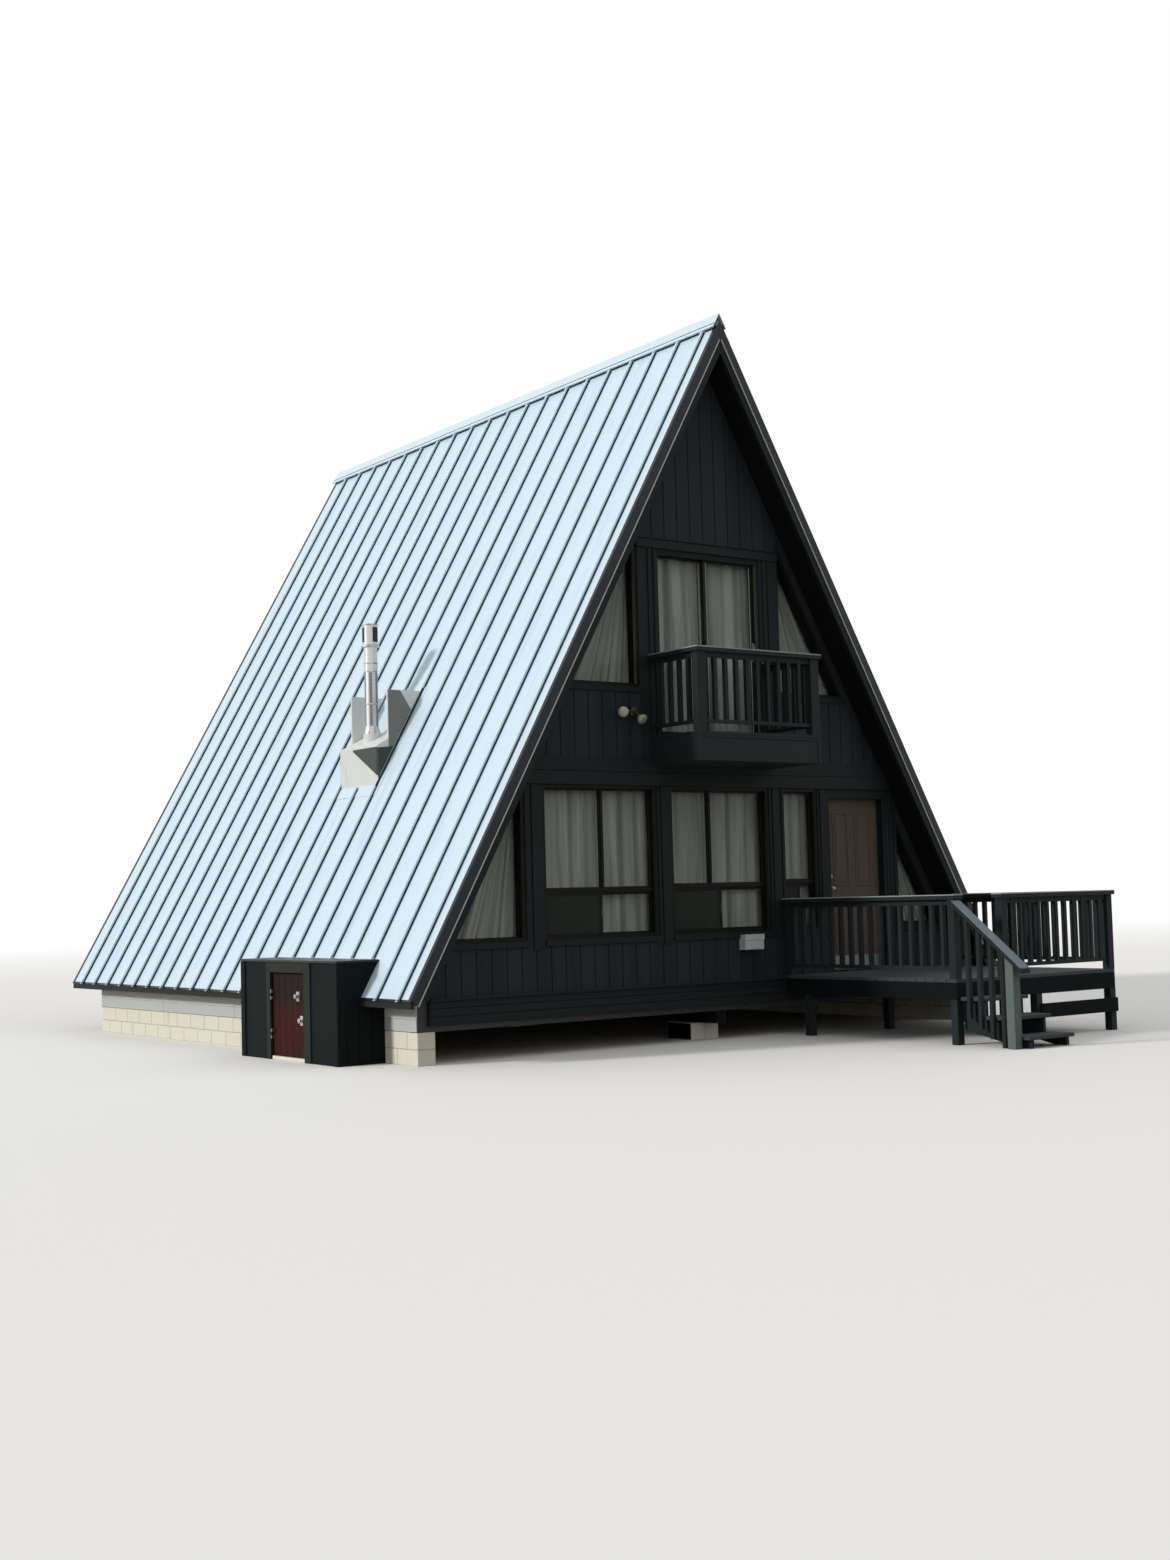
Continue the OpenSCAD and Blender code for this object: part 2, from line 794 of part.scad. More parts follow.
module balcony_rail() {
    w = balcony_post_w;
    x = balcony_half - post_w / 2;
    y = balcony_y0 + post_w / 2;
    h = balcony_rail_h;
    cap_z = balcony_z + h - rail_cap_t;
    color("slategray") {
        guard_x(-balcony_half + w, balcony_half - w, y, balcony_z, h);
        both_sides() {
            guard_y(y, -wall_y, x, balcony_z, h);
            bar([balcony_half - w, balcony_half], [balcony_y0, balcony_y0 + post_w], [balcony_z, cap_z]);
            bar([balcony_half - w - 1, balcony_half + rail_lip], [y - rail_cap_w / 2, y + rail_cap_w / 2],
                [cap_z, cap_z + rail_cap_t]);
        }
    }
}

// Side box
module side_cheek_profile() {
    depth = deck_t - slope_seat;
    polygon([[-side_x, 0], [-block_out, 0], [-block_out, joist_top], [-plate_out, joist_top],
        [-plate_out, floor_z], [-roof_x(floor_z, depth), floor_z], [-roof_x(side_top, depth), side_top],
        [-side_x, side_top]]);
}

module side_walls() {
    color("darkslategray") {
        run_y(side_y0, side_y0 + side_wall_t) side_cheek_profile();
        run_y(side_y1 - side_wall_t, side_y1) side_cheek_profile();
        bar([-side_x, -side_x + side_wall_t], [side_y0, side_door_y0], [0, side_top]);
        bar([-side_x, -side_x + side_wall_t], [side_door_y1, side_y1], [0, side_top]);
    }
}

module side_door_head() {
    color("darkslategray")
        bar([-side_x, -side_x + side_wall_t], [side_door_y0, side_door_y1], [side_door_top, side_top]);
}

module side_box_roof() {
    color("slategray")
        bar([-side_x - side_roof_lip, -roof_x(side_top)], [side_y0 - side_roof_lip, side_y1 + side_roof_lip],
            [side_top, side_top + side_roof_t]);
}

module side_door() {
    color("maroon") {
        bar([-side_x + side_in, -side_x + side_in + side_door_t], [side_door_y0 + door_gap, side_leaf_y],
            [side_sill_h + door_gap, side_door_top - door_gap]);
        for (z = side_hinge_zs) {
            translate([-side_x - hinge_out, side_leaf_y + door_gap / 2, z + hinge_k + hinge_seat])
                cylinder(r = hinge_r, h = hinge_k - 2 * hinge_seat, $fn = 32);
            bar([-side_x - hinge_out, -side_x + side_in + side_door_t], [side_leaf_y, side_leaf_y + hinge_t],
                [z + hinge_k + hinge_seat, z + 2 * hinge_k - hinge_seat]);
        }
    }
}

// Flue
module chase_profile() {
    x = roof_x(chase_z0, -slope_seat);
    polygon([[x, chase_z0], [x, chase_z0 + chase_front_h], [roof_x(chase_top_z, -slope_seat), chase_top_z]]);
}

module fin_profile() {
    x = roof_x(chase_z0) - fin_in;
    z = chase_z0 + chase_front_h - fin_foot;
    high_z = fin_top - fin_notch;
    low_z = z - fin_heel;
    polygon([[x, z], [x, fin_top], [x - fin_w, fin_top], [roof_x(high_z, -slope_seat), high_z],
        [roof_x(low_z, -slope_seat), low_z]]);
}

module flue_chase() {
    color("whitesmoke") {
        mirror([1, 0, 0]) {
            run_y(chase_y[0], chase_y[1]) chase_profile();
            run_y(chase_y[0], chase_y[0] + fin_t) fin_profile();
            run_y(chase_y[1] - fin_t, chase_y[1]) fin_profile();
        }
        translate([pipe_x, pipe_y, collar_foot])
            cylinder(r = collar_r, h = collar_z - collar_foot, $fn = 48);
    }
}

module flue_pipe() {
    color("lightgray") translate([pipe_x, pipe_y, collar_z]) {
        cylinder(r = pipe_r, h = pipe_top - cap_h - collar_z, $fn = 48);
        translate([0, 0, band_z - collar_z]) cylinder(r = pipe_r + band_over, h = band_h, $fn = 48);
        translate([0, 0, pipe_top - cap_h - collar_z]) cylinder(r = cap_r, h = cap_h, $fn = 48);
    }
}

// Fittings
module flood_light() {
    color("dimgray") translate([flood_x, -wall_y, flood_z]) {
        bar([-flood_base / 2, flood_base / 2], [-flood_base_t, 0], [-flood_base / 2, flood_base / 2]);
        for (s = [-1, 1]) translate([s * lamp_off, -flood_base_t, 0]) rotate([lamp_tilt, 0, s * lamp_turn])
            cylinder(r1 = lamp_r[0], r2 = lamp_r[1], h = lamp_len, $fn = 32);
    }
}

module wall_box() {
    color("lightgray") bar(wall_box_x, [-wall_y - wall_box_d, -wall_y], wall_box_z);
}

// Deck
module deck_platform() {
    color("slategray")
        joist_floor([deck_x0, deck_x1], [deck_y0, deck_y1], deck_z, deck_edge_h, 4);
}

deck_post_xs = [deck_x0 + post_w / 2, (deck_x0 + deck_x1) / 2, deck_x1 - post_w / 2];
deck_post_ys = [deck_y0 + post_w / 2, deck_y1 - post_w / 2 - back_post_in];

module deck_posts() {
    color("slategray") {
        for (x = deck_post_xs, y = deck_post_ys) post(x, y, 0, deck_z - deck_edge_h);
        bar([deck_post_xs[1], deck_x1], [deck_y0 - skirt_t, deck_y0],
            [skirt_up, skirt_up + skirt_h]);
    }
}

module deck_rails() {
    xl = deck_x0 + post_w / 2;
    xm = stair_x1 + post_w / 2;
    xr = deck_x1 - post_w / 2;
    y = deck_y0 + post_w / 2;
    h = deck_rail_h;
    color("slategray") {
        guard_y(y, -wall_y, xl, deck_z, h);
        guard_x(xm, xr, y, deck_z, h);
        guard_y(y, rake_post_y + post_w / 2, xr, deck_z, h);
        for (x = [xl, xm, xr]) guard_post(x, y, deck_z, h);
        post(xr, rake_post_y, deck_z, deck_z + h - rail_cap_t);
        post(xl, deck_y1 - post_w / 2, deck_z, deck_z + h - rail_cap_t);
    }
}

module stair_treads() {
    color("slategray") for (i = [1 : stair_steps])
        bar([stair_x0, stair_x1], [deck_y0 - i * stair_going - tread_nose, deck_y0 - (i - 1) * stair_going],
            [deck_z - i * stair_rise - board_t, deck_z - i * stair_rise]);
}

// A stringer cut into steps under the treads
module stringer_profile() {
    under = deck_z - board_t;
    polygon([for (i = [1 : stair_steps]) each [[deck_y0 - (i - 1) * stair_going, under - i * stair_rise],
            [deck_y0 - i * stair_going, under - i * stair_rise]],
        [deck_y0 - stair_steps * stair_going, 0], [deck_y0 - stair_steps * stair_going + stringer_foot, 0],
        [deck_y0, under - stair_rise - stringer_h]]);
}

module stair_stringers() {
    color("slategray") {
        run_x(stair_x0 + stringer_in, stair_x0 + stringer_in + board_t) stringer_profile();
        run_x(stair_x1 - stringer_in - board_t, stair_x1 - stringer_in) stringer_profile();
    }
}

// One upright of the stair guard, cut to the slope under the plank
module stair_baluster(y) {
    run_x(stair_x0 - baluster_t, stair_x0)
        polygon([[y - baluster_t / 2, stair_line_z(y) - baluster_drop],
            [y + baluster_t / 2, stair_line_z(y) - baluster_drop],
            [y + baluster_t / 2, handrail_z(y + baluster_t / 2) - handrail_t],
            [y - baluster_t / 2, handrail_z(y - baluster_t / 2) - handrail_t]]);
}

module stair_rail() {
    x = stair_x0 - post_w / 2;
    color("slategray") {
        run_x(x - rail_cap_w / 2, x + rail_cap_w / 2)
            polygon([[deck_y0, handrail_z(deck_y0)], [handrail_end_y, handrail_z(handrail_end_y)],
                [handrail_end_y, handrail_z(handrail_end_y) - handrail_t],
                [deck_y0, handrail_z(deck_y0) - handrail_t]]);
        run_x(x - post_w / 2, x + post_w / 2)
            polygon([[newel_y - post_w / 2, 0], [newel_y + post_w / 2, 0],
                [newel_y + post_w / 2, handrail_z(newel_y + post_w / 2) - handrail_t],
                [newel_y - post_w / 2, handrail_z(newel_y - post_w / 2) - handrail_t]]);
        for (y = [deck_y0 - baluster_gap : -baluster_gap : newel_y + post_w])
            stair_baluster(y);
    }
}

foundation_left();
foundation_right();
centre_piers();
girder();
ground_floor();
sill_band_front();
roof_deck_left();
roof_deck_right();
roof_metal_left();
roof_metal_right();
ridge_cap();
rake_trims();
barge_boards();
eave_fascias();
loft_floor();
wall_front_left();
wall_front_right();
belly_band_front();
wall_front_gable();
wall_back_ground();
wall_back_gable();
bands_back();
window_frames_front();
window_glass_front();
slider_frame();
curtains_front();
curtain_rods();
window_frames_back();
window_glass_back();
entry_frame();
entry_door();
door_hinges();
balcony_floor();
balcony_rail();
side_walls();
side_door_head();
side_box_roof();
side_door();
flue_chase();
flue_pipe();
flood_light();
wall_box();
deck_platform();
deck_posts();
deck_rails();
stair_treads();
stair_stringers();
stair_rail();
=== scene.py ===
"""Finishes and fine pieces of an A-frame cabin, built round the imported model, in metres."""

import math
import random

import bmesh
import bpy
from mathutils import Matrix, Vector


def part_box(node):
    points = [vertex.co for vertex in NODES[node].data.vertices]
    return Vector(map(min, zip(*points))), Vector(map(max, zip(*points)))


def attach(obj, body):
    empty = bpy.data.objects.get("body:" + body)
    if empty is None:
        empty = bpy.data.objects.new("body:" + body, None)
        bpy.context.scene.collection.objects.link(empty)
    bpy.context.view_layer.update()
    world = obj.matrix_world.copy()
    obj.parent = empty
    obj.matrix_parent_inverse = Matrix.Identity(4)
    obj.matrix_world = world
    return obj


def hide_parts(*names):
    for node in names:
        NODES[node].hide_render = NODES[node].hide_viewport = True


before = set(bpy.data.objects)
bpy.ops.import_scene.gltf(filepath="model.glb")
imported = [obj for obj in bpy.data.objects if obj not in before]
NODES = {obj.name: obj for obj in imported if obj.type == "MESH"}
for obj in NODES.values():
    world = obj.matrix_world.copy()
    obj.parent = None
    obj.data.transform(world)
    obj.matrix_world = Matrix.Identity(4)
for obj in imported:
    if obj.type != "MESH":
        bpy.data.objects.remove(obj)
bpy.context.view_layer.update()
HOUSE = "cabin"

# The house, as in the part: eave level, pitch, half width and lengthwise places
EAVE_Z = 0.66
PITCH = math.radians(60.4)
SLOPE = math.tan(PITCH)
ROOF_HALF = 4.23
RAKE_Y = 4.475
WALL_Y = 4.13
WALL_IN = 3.99
SLOPE_LEN = ROOF_HALF / math.cos(PITCH)
DECK_DEPTH = 0.183
LINING_DEPTH = 0.24
HEAD_Z = 2.834
BELLY_TOP = 3.137
SILL_Z = 1.19
FRAME_T = 0.036
GLASS_Y = WALL_Y - 0.08
GLASS_T = 0.024
FRONT = -WALL_Y
PANE = -GLASS_Y

# A gap that keeps two faces apart
HAIR = 0.0005

# Standing seams: spacing, places along the house, height, and the two faces of the painted shade strip on a flank
SEAM_GAP = 0.44
SEAM_YS = [-RAKE_Y + 0.206 + SEAM_GAP * i for i in range(20)]
SEAM_H = 0.038
FLANK = (0.0122, 0.0145)
# Depth of the rake trims, and where the ridge cap's lower edges lie along the slopes
RAKE_D = 0.104
RIDGE_EDGE = (ROOF_HALF - 0.085 + SEAM_H * math.sin(PITCH)) / math.cos(PITCH)

# Front windows: left and right sides, transom level, upper and lower mullion
WINDOWS = [
    {"name": "left", "x": (-2.38, -0.84), "transom": 1.70, "upper": -1.557, "lower": -1.594},
    {"name": "middle", "x": (-0.657, 0.806), "transom": 1.72, "upper": -0.038, "lower": 0.087},
    {"name": "right", "x": (1.012, 1.567), "transom": 1.745, "upper": None, "lower": 1.29},
]
# Three-cornered windows: side of the house, inner side, sill, width, and folds of the curtain
CORNERS = [
    {"name": "low_left", "s": -1, "x": 2.61, "z": SILL_Z, "w": 0.974, "folds": 9},
    {"name": "low_right", "s": 1, "x": 2.85, "z": SILL_Z, "w": 0.734, "folds": 7},
    {"name": "high_left", "s": -1, "x": 1.03, "z": 3.92, "w": 1.0145, "folds": 9},
    {"name": "high_right", "s": 1, "x": 1.03, "z": 3.92, "w": 1.0145, "folds": 9},
]
SLIDER_HALF = 0.76
SLIDER_Z = (3.38, 5.485)
BACK_WINDOWS = [(-2.2, -0.7, SILL_Z, 2.6), (0.7, 2.2, SILL_Z, 2.6), (-0.6, 0.6, 3.9, 5.2)]
# Curtains: where they hang, and how far their folds reach
CURTAIN_Y = -(WALL_IN - 0.045)
ROOM = 0.018

# Side box and its door
BOX_X = 4.49
BOX_Y = (-3.49, -1.32)
BOX_TOP = 1.036
HATCH_Y = (-2.78, -2.03)
HATCH_TOP = 0.92

# Entry door leaf
LEAF_X = (1.778, 2.642)
LEAF_Z = (0.69, 2.724)
LEAF_FACE_Y = -(WALL_IN + 0.044)

# Flue
CHASE_Y = (-1.63, -0.755)
CHASE_FOOT_Z = 2.982
FIN_TOP_Z = 4.09

# Front deck, stairs and balcony
DECK_X = (0.97, 3.55)
DECK_Y = (-6.76, -4.16)
DECK_TOP = 0.68
DECK_EDGE = 0.215
BOARD_T = 0.038
BOARD_W = 0.14
STAIR_X = (1.015, 1.711)
STAIR_RISE = 0.185
STAIR_GOING = 0.29
BALCONY_HALF = 0.885
BALCONY_Y = (-4.957, FRONT)
BALCONY_Z = 3.377
BALCONY_H = 0.319

# Siding boards: width, place of one groove, and width of a groove
BOARD_PITCH = 0.187
BOARD_START = 0.124
GROOVE = 0.013
# Block walls: inner and outer face, and levels of the two courses
BLOCK_X = (3.75, 3.95)
COURSES = ((0.001, 0.155), (0.165, 0.328))


def roof_x(z, depth=0):
    """Half width under the slopes at a level, at a depth square to the slope."""
    return ROOF_HALF - (z - EAVE_Z) / SLOPE - depth / math.sin(PITCH)


def slope_point(side, along, y, height):
    """A point above a slope: distance up from the eave, place along the house, height off the sheet."""
    x = ROOF_HALF - along * math.cos(PITCH) + height * math.sin(PITCH)
    z = EAVE_Z + along * math.sin(PITCH) + height * math.cos(PITCH)
    return Vector((side * x, y, z))


def up_slope(z):
    """Distance up a slope from the eave to a level."""
    return (z - EAVE_Z) / math.sin(PITCH)


def screen(rgb):
    """A colour that is written as it shows on a screen."""
    return tuple(((c / 255 + 0.055) / 1.055) ** 2.4 if c > 10 else c / 255 / 12.92 for c in rgb) + (1,)


MATERIALS = {}


class Surface:
    """A material whose colour, roughness and relief are built from nodes in object space."""

    def __init__(self, name, colour, roughness=0.5, metallic=0, coat=0, specular=0.5):
        self.material = MATERIALS[name] = bpy.data.materials.new(name)
        self.material.use_nodes = True
        self.tree = self.material.node_tree
        self.shader = self.tree.nodes["Principled BSDF"]
        self.colour = self.add("ShaderNodeRGB").outputs[0]
        self.colour.default_value = screen(colour)
        self.height = None
        self.place = self.add("ShaderNodeTexCoord").outputs["Object"]
        self.fill(self.shader, {"Metallic": metallic, "Roughness": roughness, "Coat Weight": coat,
                                "Specular IOR Level": specular, "Base Color": screen(colour)})

    def fill(self, node, inputs):
        """Gives a node's inputs their numbers and links."""
        for key, value in inputs.items():
            if isinstance(value, bpy.types.NodeSocket):
                self.tree.links.new(value, node.inputs[key])
            else:
                node.inputs[key].default_value = value

    def add(self, kind, inputs=None, **settings):
        node = self.tree.nodes.new(kind)
        for key, value in settings.items():
            setattr(node, key, value)
        self.fill(node, inputs or {})
        return node

    def mapped(self, scale, turn=0):
        scale = scale if isinstance(scale, tuple) else (scale,) * 3
        inputs = {"Scale": scale, "Rotation": (0, 0, turn), "Vector": self.place}
        return self.add("ShaderNodeMapping", inputs).outputs[0]

    def place_along(self, axis):
        return self.add("ShaderNodeSeparateXYZ", {0: self.place}).outputs[axis]

    def noise(self, scale, detail=3, rough=0.55, distortion=0, turn=0):
        inputs = {"Scale": 1, "Detail": detail, "Roughness": rough, "Distortion": distortion,
                  "Vector": self.mapped(scale, turn)}
        return self.add("ShaderNodeTexNoise", inputs).outputs["Fac"]

    def cells(self, scale):
        return self.add("ShaderNodeTexVoronoi", {"Scale": 1, "Vector": self.mapped(scale)}).outputs["Distance"]

    def bands(self, scale, direction="X", distortion=0, phase=0, turn=0):
        inputs = {"Scale": 1, "Distortion": distortion, "Phase Offset": phase,
                  "Vector": self.mapped(scale, turn)}
        return self.add("ShaderNodeTexWave", inputs, bands_direction=direction).outputs["Fac"]

    def stepped(self, value, low, high):
        inputs = {"From Min": low, "From Max": high, "Value": value}
        return self.add("ShaderNodeMapRange", inputs, interpolation_type="SMOOTHSTEP").outputs[0]

    def times(self, a, b, operation="MULTIPLY"):
        return self.add("ShaderNodeMath", {0: a, 1: b}, operation=operation).outputs[0]

    def tint(self, factor, colour, amount=1):
        if amount != 1:
            factor = self.times(factor, amount)
        inputs = {"Factor": factor, "A": self.colour, "B": screen(colour)}
        self.colour = self.add("ShaderNodeMix", inputs, data_type="RGBA").outputs["Result"]
        self.fill(self.shader, {"Base Color": self.colour})

    def gloss(self, factor, low, high):
        inputs = {"To Min": low, "To Max": high, "Value": factor}
        self.fill(self.shader, {"Roughness": self.add("ShaderNodeMapRange", inputs).outputs[0]})

    def relief(self, height, strength, distance):
        inputs = {"Strength": strength, "Distance": distance, "Height": height}
        if self.height is not None:
            inputs["Normal"] = self.height
        self.height = self.add("ShaderNodeBump", inputs).outputs[0]
        self.fill(self.shader, {"Normal": self.height})

    def patches(self, scale, detail, colour, amount):
        """Soft patches of another colour."""
        self.tint(self.noise(scale, detail), colour, amount)

    def spots(self, scale, detail, low, high, colour, amount):
        """Patches with an edge, where the noise passes from low to high."""
        self.tint(self.stepped(self.noise(scale, detail), low, high), colour, amount)

    def sheen(self, scale, detail, low, high):
        self.gloss(self.noise(scale, detail), low, high)

    def dents(self, scale, detail, strength, distance):
        self.relief(self.noise(scale, detail), strength, distance)


def roof_metal(name, amount):
    s = Surface(name, (211, 230, 242), 0.4, metallic=0.05, specular=0.12)
    s.patches((0.5, 2.3, 0.5), 2, (219, 237, 247), 0.5)
    s.spots((1.1, 9, 1.1), 5, 0.52, 0.78, (166, 184, 197), 0.3 * amount)
    s.spots(7, 6, 0.6, 0.72, (218, 228, 233), 0.2)
    s.sheen((2, 5, 2), 4, 0.34, 0.5)
    s.dents((0.9, 3.2, 0.9), 1, 0.3, 0.01)
    s.dents(160, 2, 0.05, 0.001)


def trim_metal(name, colour, worn):
    s = Surface(name, colour, 0.4, metallic=0.1, specular=0.3)
    s.patches(2, 3, worn, 0.4)
    s.spots(16, 5, 0.58, 0.74, (90, 100, 108), 0.15)
    s.sheen(6, 3, 0.28, 0.48)
    s.dents(3, 2, 0.2, 0.004)


def bright_metal(name, reflection_streaks=None):
    """Galvanised sheet; the last argument gives the turn, spacing and place of dark upright streaks, which are
    painted reflections, and their top.
    """
    s = Surface(name, (204, 207, 206), 0.34, metallic=0.6)
    if reflection_streaks is None:
        s.spots((12, 12, 0.6), 2, 0.44, 0.56, (96, 100, 103), 0.7)
    else:
        # painted reflection: dark upright streaks down the pipe
        turn, gap, place, top = reflection_streaks
        scale = math.pi / 10 / gap
        lines = s.bands((scale, scale, 0), phase=math.pi - 2 * math.pi * place / gap, turn=turn)
        low = s.stepped(s.place_along("Z"), top, top - 0.02)
        s.tint(s.times(s.stepped(lines, 0.34, 0.66), low), (58, 64, 64), 0.85)
    s.tint(s.cells(60), (222, 226, 228), 0.25)
    s.sheen((12, 12, 3), 3, 0.2, 0.42)
    s.dents((8, 8, 2), 2, 0.12, 0.002)


def painted_wood(name, colour, faded, grain=(26, 26, 1.6), chips=0.12, specular=0.14, tones=None):
    """Painted rough-sawn wood: grain, faded patches, a few worn specks and, where tones is given,
    a tone of its own for each board."""
    s = Surface(name, colour, 0.55, specular=specular)
    s.patches(1.3, 3, faded, 0.55)
    if tones is not None:
        s.spots((3.1, 0, 0), 0, 0.42, 0.6, tones, 0.8)
    lines = s.noise(grain, 6, 0.65, 0.4)
    s.tint(s.stepped(lines, 0.5, 0.68), faded, 0.5)
    s.spots((34, 34, 22), 5, 0.66, 0.74, (128, 124, 116), chips)
    s.gloss(lines, 0.5, 0.72)
    s.relief(lines, 0.55, 0.0022)
    s.dents((90, 90, 60), 3, 0.15, 0.0008)


def woods():
    s = Surface("stained_wood", (21, 22, 20), 0.5, specular=0.1)
    s.tint(s.noise((30, 30, 1.4), 6, 0.6, 0.6), (32, 33, 29), 0.6)
    s.spots((5, 5, 2), 3, 0.5, 0.8, (15, 16, 14), 0.5)
    s.sheen((12, 12, 4), 3, 0.34, 0.55)
    s.relief(s.noise((46, 46, 2), 5, 0.6, 0.3), 0.3, 0.001)

    # Dark red paint, with painted shade that darkens it to nearly black towards the top of the door
    s = Surface("maroon_paint", (60, 18, 12), 0.6, specular=0.08)
    s.patches(1.3, 3, (47, 15, 12), 0.6)
    lines = s.noise((24, 24, 1.6), 6, 0.65, 0.4)
    s.tint(s.stepped(lines, 0.5, 0.68), (78, 28, 21), 0.35)
    # painted shade: darker towards the top of the door
    s.tint(s.stepped(s.place_along("Z"), 0.42, 0.74), (26, 17, 16), 0.85)
    s.spots((34, 34, 22), 5, 0.66, 0.74, (128, 124, 116), 0.12)
    s.relief(lines, 0.55, 0.0022)

    # Boarded softwood with grain, knots and joints; near-black outside the walls, which is painted shade under
    # the overhangs
    s = Surface("raw_wood", (196, 150, 98), 0.6)
    dark = (150, 104, 62)
    s.patches(3, 3, dark, 0.35)
    s.tint(s.noise((14, 1.2, 14), 7, 0.6, 0.8), dark, 0.55)
    s.tint(s.stepped(s.cells((2.2, 0.9, 2.2)), 0.09, 0.02), (78, 48, 26), 0.8)
    joint = s.stepped(s.bands((0, math.pi / 10 / 0.14, 0), "Y"), 0.03, 0)
    s.tint(joint, (46, 32, 22), 0.8)
    # painted shade: near-black beyond the walls, under the overhangs
    overhang_shade = s.stepped(s.times(s.place_along("Y"), 0, "ABSOLUTE"), WALL_IN - 0.004, WALL_IN)
    s.tint(overhang_shade, (24, 26, 27))
    s.relief(joint, 0.6, -0.003)
    s.dents((20, 2, 20), 6, 0.25, 0.001)


def stones():
    s = Surface("block", (247, 243, 223), 0.88, specular=0.2)
    s.patches(2.4, 4, (232, 227, 208), 0.5)
    s.spots((1.6, 1.6, 5.5), 4, 0.48, 0.72, (240, 235, 216), 0.5)
    s.tint(s.stepped(s.cells(190), 0.28, 0.1), (146, 140, 128), 0.35)
    s.spots((5, 5, 1.2), 5, 0.6, 0.8, (160, 152, 136), 0.35)
    s.relief(s.cells(170), 0.5, 0.0016)
    s.dents(38, 6, 0.6, 0.003)

    s = Surface("mortar", (204, 199, 184), 0.94)
    s.patches(7, 4, (178, 172, 158), 0.6)
    s.dents(120, 5, 0.7, 0.002)


def window_finishes():
    s = Surface("glass", (40, 50, 44), 0.03, specular=0.5)
    s.fill(s.shader, {"Alpha": 0.16, "IOR": 1.5})
    s.patches(1.2, 2, (66, 76, 62), 0.6)
    s.spots((2.6, 2.6, 1.6), 4, 0.5, 0.75, (84, 92, 82), 0.4)
    s.dents(1.6, 1, 0.12, 0.004)

    s = Surface("insect_screen", (52, 58, 51), 0.8, specular=0.1)
    s.fill(s.shader, {"Alpha": 0.75})
    weave = s.times(s.bands((210, 0, 0)), s.bands((0, 0, 210), "Z"))
    s.tint(weave, (70, 76, 69), 0.4)
    s.relief(weave, 0.3, 0.0004)

    # Loose cream cloth, read along the cloth itself: lighter and darker strips down it, painted light and shade
    # of the folds, and painted shade where a fold lies back from the window into a hollow
    s = Surface("curtain_cloth", (204, 214, 202), 0.9, specular=0.1)
    s.place = s.add("ShaderNodeAttribute", attribute_name="weft").outputs["Vector"]
    # painted light: lighter strips down the cloth
    s.tint(s.stepped(s.noise((5, 0.35, 0), 3, 0.6), 0.46, 0.6), (238, 245, 234), 0.8)
    # painted shade: darker strips down the cloth
    shade_strips = s.noise((12, 0.5, 0), 4, 0.6, 0, 0.04)
    s.tint(s.stepped(shade_strips, 0.5, 0.66), (148, 154, 142), 0.6)
    # painted shade: darker where the fold lies back from the window
    s.tint(s.stepped(s.place_along("Z"), 0.1, 0.95), (110, 116, 105), 0.65)
    weave = s.times(s.bands((900, 0, 0), "X", 0.4), s.bands((0, 900, 0), "Y", 0.4))
    s.tint(weave, (150, 148, 134), 0.25)
    s.relief(weave, 0.25, 0.0005)
    s.dents((40, 3, 0), 3, 0.2, 0.002)

    s = Surface("gasket", (22, 24, 26), 0.7)
    s.patches(20, 3, (40, 42, 44), 0.5)
    s.dents(150, 2, 0.2, 0.0008)


def fitting_finishes():
    s = Surface("grey_metal", (150, 152, 153), 0.42, metallic=0.75)
    s.patches((6, 6, 3), 4, (112, 114, 116), 0.6)
    s.spots((18, 18, 9), 5, 0.6, 0.78, (104, 92, 80), 0.35)
    s.sheen(12, 3, 0.3, 0.55)
    s.dents(30, 3, 0.12, 0.001)

    s = Surface("flashing", (226, 229, 226), 0.5, coat=0.1)
    s.patches((4, 4, 2), 4, (200, 203, 200), 0.5)
    s.spots((8, 8, 1.5), 5, 0.58, 0.8, (150, 146, 138), 0.45)
    s.dents(12, 3, 0.2, 0.002)

    s = Surface("plastic", (204, 207, 212), 0.5)
    s.patches(9, 4, (184, 187, 192), 0.5)
    s.dents(260, 2, 0.12, 0.0006)

    s = Surface("lamp_glass", (198, 194, 172), 0.22, specular=0.8)
    s.patches(30, 3, (170, 164, 142), 0.5)
    s.relief(s.cells(220), 0.3, 0.001)


